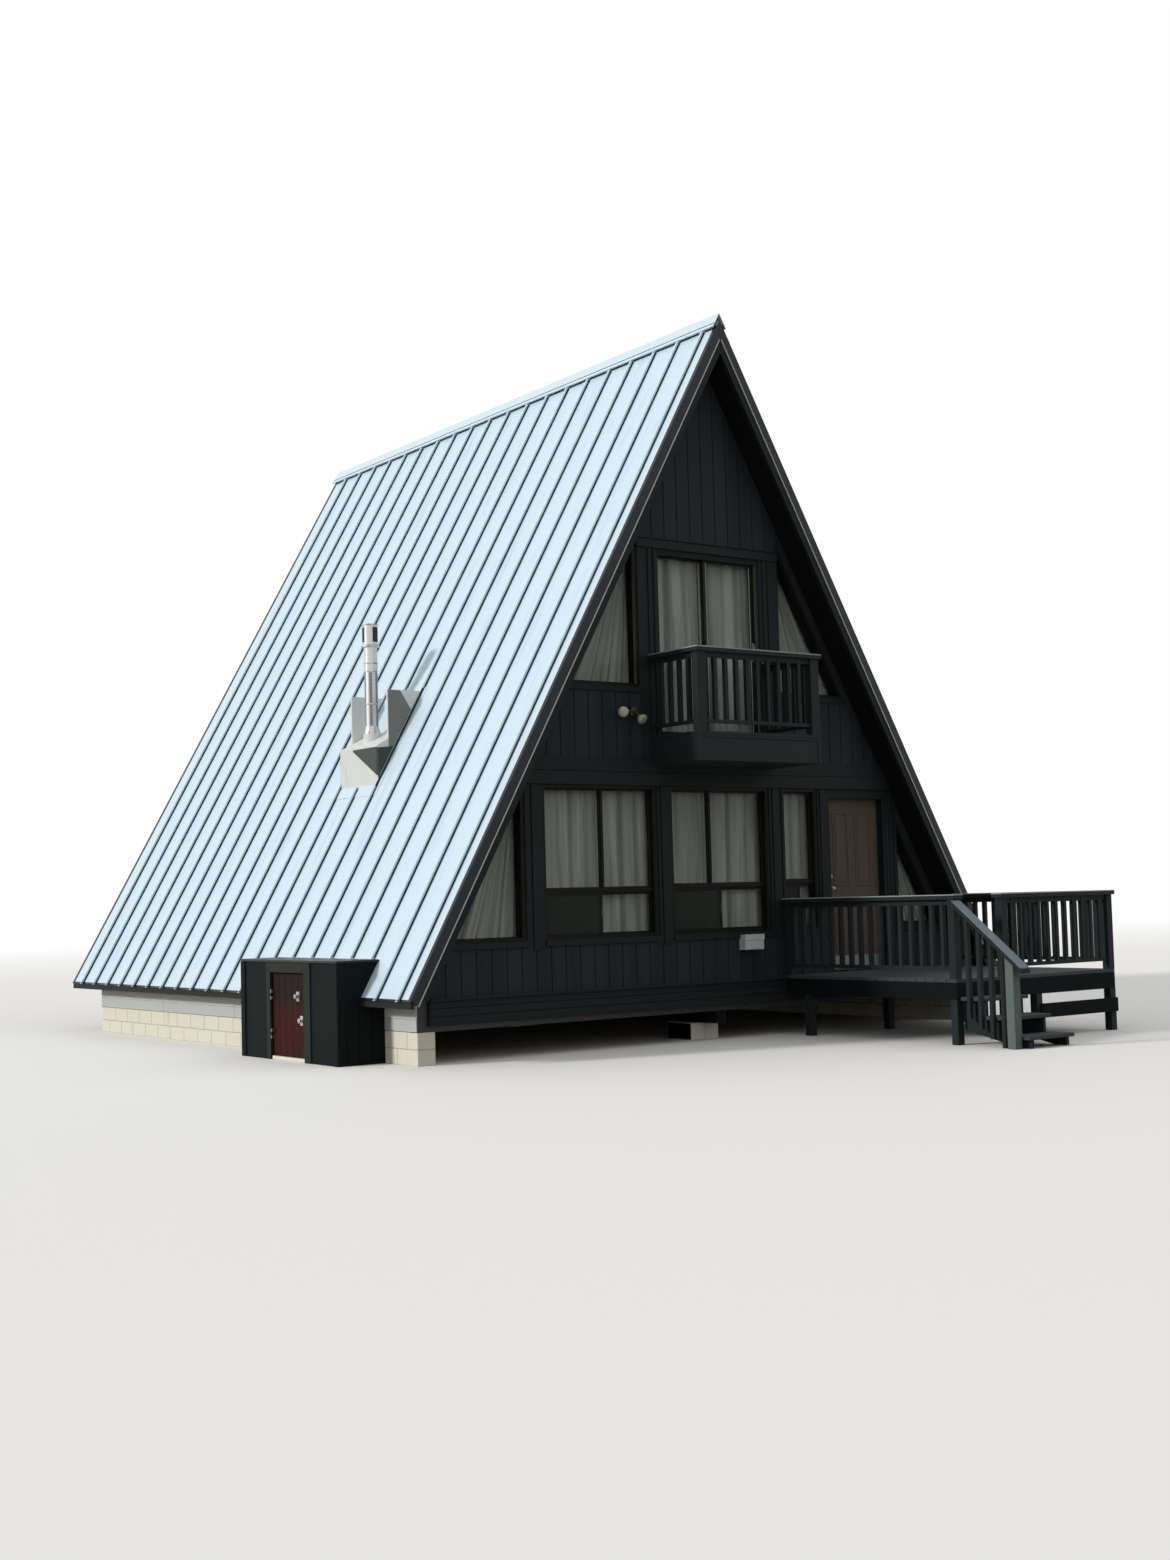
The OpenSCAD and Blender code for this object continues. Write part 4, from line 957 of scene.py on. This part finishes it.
def block_faces():
    """Concrete blocks laid over the mortar of the foundation walls and piers."""
    blocks = Piece()
    inner, outer = BLOCK_X
    for side in (-1, 1):
        for course, z in enumerate(COURSES):
            y = FRONT - (0.2 if course else 0)
            while y < WALL_Y:
                a, b = max(y, FRONT), min(y + 0.39, WALL_Y)
                y += 0.4
                for c, d in clipped(a, b, HATCH_Y) if side < 0 else [(a, b)]:
                    if d - c > 0.02:
                        blocks.bar((side * (outer + 0.004), side * (inner - 0.004)), (c, d), z)
        for end in (-1, 1):
            for z in COURSES:
                blocks.bar((side * (outer + 0.002), side * (inner - 0.002)),
                           (end * (WALL_Y + 0.004), end * (WALL_Y - 0.19)), z)
    for y in (-3.63, 0, 3.63):
        for x in (-0.102, 0.102):
            blocks.bar((x - 0.098, x + 0.098), (y - 0.204, y + 0.204), (0.001, 0.186))
    blocks.bar((-BOX_X - 0.003, -BOX_X + 0.09), (HATCH_Y[0] + 0.004, HATCH_Y[1] - 0.004), (0.001, 0.038))
    blocks.done("block_courses", "block", 0.004)


def rim_boards():
    """Pale boards over the edge of the floor, between the blocks and the eaves; the upper boards are whiter,
    partly their own paint and partly painted light that offsets the eaves' shadow on them.
    """
    lower, upper = Piece(), Piece()
    for side in (-1, 1):
        x = (side * (BLOCK_X[1] + HAIR), side * (BLOCK_X[1] + 0.012))
        for i in range(4):
            a = FRONT + i * WALL_Y / 2
            b = a + WALL_Y / 2 - 0.004
            for y in clipped(a, b, (BOX_Y[0] - 0.016, BOX_Y[1] + 0.016)) if side < 0 else [(a, b)]:
                lower.bar(x, y, (0.338, 0.462))
                # partly painted light: the upper boards whiter, against the eaves' shadow
                upper.bar(x, y, (0.465, 0.598))
    lower.done("rim_boards", "rim_paint", 0.002)
    upper.done("rim_boards_upper", "rim_white_and_painted_light", 0.002)


def boarded(name, x, y, top, gap, material):
    """Deck boards side by side, with gaps between them."""
    boards = Piece()
    length = y[1] - y[0] + gap
    count = round(length / (BOARD_W + gap))
    pitch = length / count
    for i in range(count):
        a = y[0] + i * pitch
        boards.bar(x, (a, a + pitch - gap), (top - BOARD_T, top))
    return boards.done(name, material, 0.005)


def joists():
    """Rim boards and joists under the deck's boards."""
    rims = Piece()
    (x0, x1), (y0, y1) = DECK_X, DECK_Y
    z = (DECK_TOP - DECK_EDGE, DECK_TOP - BOARD_T - HAIR)
    rims.bar(DECK_X, (y0, y0 + BOARD_T), z)
    rims.bar(DECK_X, (y1 - BOARD_T, y1), z)
    bays = 4
    step = (x1 - x0 - BOARD_T) / bays
    for i in range(bays + 1):
        rims.bar((x0 + i * step, x0 + i * step + BOARD_T), (y0 + BOARD_T + HAIR, y1 - BOARD_T - HAIR), z)
    return rims.done("deck_joists", "joist_paint", 0.004)


def decks():
    floor = boarded("deck_boards", DECK_X, DECK_Y, DECK_TOP, 0.006, "deck_paint")
    frame_piece = joists()
    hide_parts("deck_platform")
    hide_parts("deck_platform")
    x0, x1 = -BALCONY_HALF, BALCONY_HALF
    y0, y1 = BALCONY_Y
    floor = boarded("balcony_boards", (x0, x1), (y0, y1 - 0.004), BALCONY_Z, 0.005, "grey_paint")
    rims = Piece()
    z = (BALCONY_Z - BALCONY_H, BALCONY_Z - BOARD_T - HAIR)
    y_in = y1 - 0.045
    rims.bar((x0, x1), (y0, y0 + BOARD_T), z)
    for x in (x0, x1 - BOARD_T):
        rims.bar((x, x + BOARD_T), (y0 + BOARD_T + 0.001, y_in), z)
    rims.bar((x0 + BOARD_T, x1 - BOARD_T), (y0 + BOARD_T, y_in), (z[0] + 0.004, z[0] + 0.022))
    rims.bar((x0, x1), (y_in, y1 - 0.001), (BELLY_TOP + 0.004, z[1]))
    face = (y0 - 0.008, y0 - HAIR)
    for x in ((x0, x0 + 0.05), (x1 - 0.05, x1)):
        rims.bar(x, face, z)
    rims.bar((x0 + 0.052, x1 - 0.052), face, (z[1] - 0.03, z[1]))
    rim = rims.done("balcony_box", "grey_paint", 0.004)
    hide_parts("balcony_floor")
    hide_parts("balcony_floor")


def cap_boards():
    """Boards along the tops of the guards of the deck and the balcony: worn, and pale as a painted highlight
    along the tops.
    """
    boards = Piece()
    top = DECK_TOP + 0.868
    for x, y in (((0.942, 1.088), (-6.788, -4.145)), ((1.683, 3.578), (-6.788, -6.642)),
                 ((3.432, 3.578), (-6.641, -4.49))):
        boards.bar(x, y, (top + HAIR, top + 0.012))
    top = BALCONY_Z + 0.898
    for x, y in (((-0.913, 0.913), (-4.985, -4.842)), ((-0.913, -0.767), (-4.841, -4.145)),
                 ((0.767, 0.913), (-4.841, -4.145))):
        boards.bar(x, y, (top + HAIR, top + 0.014))
    boards.done("guard_cap_highlights", "cap_highlight_paint", 0.003)


def rail_under(y):
    """Level of the underside of the stair's handrail."""
    return DECK_TOP + 0.785 - (DECK_Y[0] - y) * 0.77


def stair_boards():
    """A worn board along the handrail and boards round the newel post."""
    cap, wraps = Piece(), Piece()
    y0, y1 = -7.677, -6.79
    cap.hexa([(x, y, rail_under(y) + 0.045 + h) for h in (HAIR, 0.011)
              for x, y in ((0.902, y0), (1.038, y0), (1.038, y1), (0.902, y1))])
    cap.done("handrail_cap", "handrail_paint", 0.003)
    y0, y1 = -7.562, -7.458
    for x0, x1, foot in ((0.918, 0.9245, 0.001), (1.0155, 1.022, 0.127)):
        wraps.hexa([(x, y, z or rail_under(y) - 0.001) for z in (foot, None)
                    for x, y in ((x0, y0), (x1, y0), (x1, y1), (x0, y1))])
    for y, foot in (((y0, y0 + 0.0065), 0.001), ((y1 - 0.0065, y1), 0.127)):
        wraps.bar((0.9255, 1.0145), y, (foot, rail_under(y[0]) - 0.001))
    wraps.done("newel_boards", "post_paint", 0.003)


def skirt_board():
    """A wide board over the skirt at the front of the deck."""
    board = Piece()
    board.bar((2.262, 3.548), (-6.793, -6.7805), (0.208, 0.362))
    board.done("skirt_board", "joist_paint", 0.003)


def treads():
    planks = Piece()
    for i in range(3):
        top = DECK_TOP - (i + 1) * STAIR_RISE
        back = DECK_Y[0] - i * STAIR_GOING
        for y in ((back - 0.154, back - 0.004), (back - 0.315, back - 0.160)):
            planks.bar(STAIR_X, y, (top - BOARD_T, top))
    obj = planks.done("tread_planks", "deck_paint", 0.006)
    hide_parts("stair_treads")


def entry_leaf():
    """Raised frames, panels, knob and lock of the entry door."""
    mouldings, panels, hardware, strips = Piece(), Piece(), Piece(), Piece()
    (x0, x1), (foot, head), y = LEAF_X, LEAF_Z, LEAF_FACE_Y
    xm = (x0 + x1) / 2
    for z0, z1 in ((foot + 0.22, foot + 0.86), (foot + 1, head - 0.16)):
        for a, b in ((x0 + 0.12, xm - 0.055), (xm + 0.055, x1 - 0.12)):
            sash(mouldings, (a, b), (z0, z1), 0.022, (y - 0.008, y + 0.002))
            panels.bar((a + 0.045, b - 0.045), (y - 0.006, y + 0.002), (z0 + 0.045, z1 - 0.045))
    mouldings.done("door_mouldings", "door_paint", 0.004, "entry_leaf")
    panels.done("door_panels", "door_paint", 0.006, "entry_leaf")
    knob = [(0, 0.032), (0.006, 0.032), (0.008, 0.012), (0.03, 0.012), (0.036, 0.022), (0.048, 0.028),
            (0.06, 0.026), (0.068, 0.014)]
    hardware.tube((x0 + 0.07, y, 1.66), (0, -1, 0), knob)
    hardware.tube((x0 + 0.07, y, 1.80), (0, -1, 0), [(0, 0.028), (0.012, 0.028), (0.016, 0.022), (0.018, 0.01)])
    hardware.bar((x0 + 0.03, x1 - 0.03), (y - 0.003, y + 0.001), (foot + 0.02, foot + 0.17))
    hardware.done("door_hardware", "grey_metal", 0.001, "entry_leaf", smooth=True)
    y = (y - 0.012, y - 0.002)
    for x in ((1.768, 1.776), (2.644, 2.652)):
        strips.bar(x, y, (foot, head + 0.006))
    strips.bar((1.768, 2.652), y, (head + 0.001, head + 0.009))
    strips.done("door_weatherstrip", "gasket")


def hatch():
    """Boards and bright hardware of the low side door, and the box's corner boards."""
    planks, hardware, corners, ends = Piece(), Piece(), Piece(), Piece()
    y0, y1 = HATCH_Y[0] + 0.008, HATCH_Y[1] - 0.008
    x = -BOX_X + 0.02
    step = (y1 - y0) / 5
    for i in range(5):
        planks.bar((x - 0.006, x + 0.002), (y0 + i * step + 0.002, y0 + (i + 1) * step - 0.002), (0.052, 0.908))
    planks.done("hatch_planks", "maroon_paint", 0.003, "side_leaf")
    for y, z in ((-2.612, 0.68), (-2.689, 0.431)):
        hardware.bar((x - 0.012, x - 0.005), (y - 0.032, y + 0.032), (z - 0.05, z + 0.05))
        hardware.tube((x - 0.012, y, z), (-1, 0, 0),
                      [(0, 0.014), (0.018, 0.014), (0.02, 0.026), (0.034, 0.026), (0.038, 0.016)], 24)
    hardware.done("hatch_hardware", "bright_metal", 0.002, "side_leaf", smooth=True)
    face = (-BOX_X - 0.014, -BOX_X + 0.002)
    whole = (0, BOX_TOP - 0.003)
    corners.bar(face, (HATCH_Y[0] - 0.14, HATCH_Y[0] - 0.002), whole)
    corners.bar(face, (HATCH_Y[1] + 0.012, HATCH_Y[1] + 0.1), whole)
    corners.bar(face, (HATCH_Y[0] + 0.001, HATCH_Y[1] + 0.009), (HATCH_TOP + 0.004, whole[1]))
    corners.done("hatch_casing", "box_trim", 0.004)
    ends.bar(face, (BOX_Y[0] - 0.002, BOX_Y[0] + 0.085), whole)
    ends.bar(face, (BOX_Y[1] - 0.085, BOX_Y[1] + 0.002), whole)
    for y0, y1, near, far in ((BOX_Y[0] - 0.014, BOX_Y[0] - HAIR, 0.004, 0.002),
                              (BOX_Y[1] + HAIR, BOX_Y[1] + 0.014, 0.002, 0.004)):
        ends.bar((-BOX_X - 0.012, -BOX_X + 0.085), (y0, y1), whole)
        for i in range(3):
            x = -BOX_X + 0.09 + i * 0.15
            ends.bar((x, x + 0.144), (y0 + near, y1 - far), (0, 0.584))
    ends.done("box_corner_boards", "box_paint", 0.004)


def flue_rings(x, y, foot, top):
    """Skirt, bands, storm collar and cap of the flue's pipe, and the slots under its cap."""
    rings, louvres = Piece(), Piece()
    band = [(0, 0.0785), (0.004, 0.085), (0.014, 0.085), (0.018, 0.0785)]
    for z, profile in ((foot, [(0, 0.1), (0.012, 0.1), (0.075, 0.084), (0.09, 0.079)]),
                       (3.95, band), (4.335, band), (4.432, band),
                       (top - 0.268, [(0, 0.0785), (0.004, 0.108), (0.016, 0.108), (0.03, 0.0905)]),
                       (top - 0.012, [(0, 0.0905), (0.003, 0.102), (0.012, 0.102), (0.03, 0.03)])):
        rings.tube((x, y, z), (0, 0, 1), profile, 48)
    rings.done("flue_rings", "bright_metal", smooth=True)
    for middle in (-76, 44, 164):
        for i in range(5):
            turn = math.radians(middle + (i - 2) * 10)
            c, d = math.cos(turn), math.sin(turn)
            p = Vector((x + c * 0.0915, y + d * 0.0915, top - 0.21))
            louvres.beam(p, p + Vector((0, 0, 0.175)), 0.0158, 0.004, (c, d, 0))
    louvres.done("flue_louvres", "gasket", 0.001)


def flue_parts():
    """Fittings of the flue's pipe, flanges round its box, dark boards on the box that are painted shadow and
    shade, and painted shade on the fins.
    """
    low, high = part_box("flue_pipe")
    flue_rings((low.x + high.x) / 2, (low.y + high.y) / 2, low.z, high.z)
    flanges, side, boards, plates, wedges = Piece(), Piece(), Piece(), Piece(), Piece()
    foot, head = up_slope(CHASE_FOOT_Z), up_slope(FIN_TOP_Z)
    near, far = CHASE_Y
    flanges.slope_bar(-1, (foot - 0.14, foot + 0.002), (near - 0.06, far + 0.06), (0, 0.006))
    for y in ((near - 0.07, near - 0.001), (far + 0.001, far + 0.07)):
        flanges.slope_bar(-1, (foot, head + 0.05), y, (0, 0.007))
    flanges.slope_bar(-1, (head - 0.28, head + 0.1), CHASE_Y, (0, 0.006))
    flanges.done("flue_flanges", "ridge_metal", 0.002)
    # painted shade on the flank of the seam beside the box
    line = min(SEAM_YS, key=lambda y: abs(y - near))
    side.slope_bar(-1, (foot - 0.03, head + 0.03), (line - FLANK[1], line - FLANK[0]), (0.0075, 0.034))
    side.done("flue_seam_side", "seam_shade_paint")
    z = CHASE_FOOT_Z
    face = -roof_x(z)
    # painted shadow: a dark board over the box's face, its lower edge slanting as a shadow's does
    boards.hexa([(x, y, z + rise) for x in (face - 0.012, face - HAIR)
                 for y, rise in ((near, 0.44), (near, 0.11), (near + 0.55, 0.42), (near + 0.55, 0.44))])
    ends = ((-1, near), (1, far))
    # painted shade: dark boards on the box's ends
    for end, y in ends:
        boards.prism([(face + 0.002, z + 0.43), (face + 0.002, z + 0.05), (face + 0.235, z + 0.455)],
                     (y + end * 0.010, y + end * HAIR))
    boards.done("flue_box_shade_boards", "chase_shade_paint", 0.003)
    outer = face + 0.15
    top = FIN_TOP_Z
    high_z = top - 0.26
    low_z = z + 0.398
    # painted shade: grey plates over the outer faces of the fins
    for end, y in ends:
        plates.prism([(outer + 0.003, low_z + 0.01), (-roof_x(low_z - 0.09) - 0.004, low_z - 0.085),
                      (-roof_x(high_z) - 0.004, high_z), (outer + 0.167, top - 0.004),
                      (outer + 0.003, top - 0.004)], (y + end * 0.006, y + end * HAIR))
        wedges.prism([(outer + 0.17, top), (-roof_x(high_z) + 0.002, high_z + 0.004),
                      (-roof_x(top) - 0.003, top)], (y - end * 0.002, y - end * 0.008))
    plates.done("flue_fin_shade_plates", "fin_shade_paint", 0.001)
    wedges.done("flue_wedges", "flashing", 0.001)


def flood_lamps():
    """A round base with two swivelling lamp holders and pale reflector bulbs."""
    x, y, z = -1.13, FRONT, 3.643
    metal, bulbs = Piece(), Piece()
    metal.tube((x, y + 0.002, z), (0, -1, 0), [(0, 0.056), (0.02, 0.056), (0.034, 0.046), (0.042, 0.03)], 40)
    root = Vector((x, y - 0.03, z))
    for joint, aim in (((x - 0.168, y - 0.05, z + 0.006), (-0.6, -0.77, -0.2)),
                       ((x - 0.012, y - 0.055, z - 0.02), (0.04, -0.84, -0.53))):
        joint, aim = Vector(joint), Vector(aim).normalized()
        metal.tube(root, joint - root, [(0, 0.012), ((joint - root).length, 0.012)], 20)
        metal.tube(joint - aim * 0.014, aim, [(0, 0.012), (0.01, 0.018), (0.03, 0.018), (0.036, 0.026),
                                              (0.095, 0.028), (0.1, 0.026)], 32)
        bulbs.tube(joint + aim * 0.081, aim, [(0, 0.022), (0.018, 0.035), (0.048, 0.052), (0.062, 0.057),
                                              (0.069, 0.056), (0.078, 0.046), (0.082, 0.018)], 40)
    holders = metal.done("lamp_holders", "lamp_metal", smooth=True)
    lamps = bulbs.done("lamp_bulbs", "lamp_glass", smooth=True)
    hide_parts("flood_light")
    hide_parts("flood_light")


def box_cover():
    low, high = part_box("wall_box")
    cover = Piece()
    cover.bar((low.x - 0.005, high.x + 0.005), (low.y - 0.008, low.y + 0.004), (high.z - 0.062, high.z + 0.004))
    cover.bar((low.x + 0.006, high.x - 0.006), (low.y - 0.005, low.y + 0.002), (low.z + 0.008, high.z - 0.067))
    cover.tube(((low.x + high.x) / 2, low.y - 0.002, low.z + 0.05), (0, -1, 0),
               [(0, 0.012), (0.005, 0.012), (0.007, 0.006)], 20)
    cover.done("wall_box_cover", "plastic", 0.004)


finishes()
seam_hems()
eave_edges()
ridge_details()
rake_hems()
soffits()
for wall in ("front_left", "front_right", "front_gable"):
    siding(f"siding_{wall}", f"wall_{wall}", -1)
for wall in ("back_ground", "back_gable"):
    siding(f"siding_{wall}", f"wall_{wall}", 1)
belly_boards("belly_boards_front", -1)
belly_boards("belly_boards_back", 1)
sill_boards()
window_casings()
gable_casings()
window_bars()
jamb_liners()
slider_parts()
back_bars()
curtains()
block_faces()
rim_boards()
decks()
cap_boards()
stair_boards()
skirt_board()
treads()
entry_leaf()
hatch()
flue_parts()
flood_lamps()
box_cover()


def seen_directly(tree):
    """1 for what the camera sees itself, in gloss or through glass, and 0 for soft light."""
    paths = tree.nodes.new("ShaderNodeLightPath")
    seen = paths.outputs["Is Camera Ray"]
    for name in ("Is Glossy Ray", "Is Transmission Ray"):
        either = tree.nodes.new("ShaderNodeMath")
        either.operation = "MAXIMUM"
        tree.links.new(seen, either.inputs[0])
        tree.links.new(paths.outputs[name], either.inputs[1])
        seen = either.outputs[0]
    return seen


def floor_material():
    """Pale where it is seen, dim as ground in the light it throws back, and white far away."""
    s = Surface("floor", (92, 90, 84), 0.95, specular=0)
    seen = seen_directly(s.tree)
    s.tint(seen, (249, 248, 245))
    far = s.add("ShaderNodeVectorMath", {0: s.place}, operation="LENGTH").outputs["Value"]
    white = s.add("ShaderNodeEmission").outputs[0]
    mix = s.add("ShaderNodeMixShader", {0: s.times(s.stepped(far, 14, 70), seen),
                                        1: s.shader.outputs[0], 2: white}).outputs[0]
    s.fill(s.tree.nodes["Material Output"], {"Surface": mix})
    return s.material


def stage():
    """A pale floor, a bright world, and a soft high lamp from the left."""
    mesh = bpy.data.meshes.new("floor")
    half = 400
    mesh.from_pydata([(-half, -half, 0), (half, -half, 0), (half, half, 0), (-half, half, 0)], [], [(0, 1, 2, 3)])
    floor = linked("floor", mesh)
    mesh.materials.append(floor_material())

    world = bpy.data.worlds.new("world")
    bpy.context.scene.world = world
    world.use_nodes = True
    tree = world.node_tree
    background = tree.nodes["Background"]
    strength = tree.nodes.new("ShaderNodeMapRange")
    strength.inputs["To Min"].default_value = 0.62
    strength.inputs["To Max"].default_value = 1
    tree.links.new(seen_directly(tree), strength.inputs["Value"])
    tree.links.new(strength.outputs[0], background.inputs["Strength"])
    background.inputs["Color"].default_value = (1, 1, 1, 1)

    lamp = bpy.data.lights.new("key", "SUN")
    lamp.energy = 1.88
    lamp.angle = math.radians(8)
    lamp.color = (1, 0.985, 0.96)
    linked("key", lamp).rotation_euler = Vector((-0.89, 0.25, 0.38)).to_track_quat("Z", "Y").to_euler()


def camera():
    """The photograph's viewpoint: place, heading, tilt and roll, with its focal length."""
    place = Vector((-13.375, -19.890, 1.615))
    heading, tilt, roll = 0.6333, 0.0649, 0.0268
    image = (1170, 1560)
    focal = 1830.2
    data = bpy.data.cameras.new("camera")
    data.sensor_width = 36
    data.lens = focal / max(image) * data.sensor_width
    data.clip_end = 2000
    obj = linked("camera", data)
    forward = Vector((math.sin(heading) * math.cos(tilt), math.cos(heading) * math.cos(tilt), math.sin(tilt)))
    level = Vector((math.cos(heading), -math.sin(heading), 0))
    above = level.cross(forward)
    right = level * math.cos(roll) - above * math.sin(roll)
    up = above * math.cos(roll) + level * math.sin(roll)
    turn = Matrix((right, up, -forward)).transposed().to_4x4()
    obj.matrix_world = Matrix.Translation(place) @ turn
    bpy.context.scene.camera = obj


stage()
camera()
bpy.context.scene.view_settings.view_transform = "Standard"
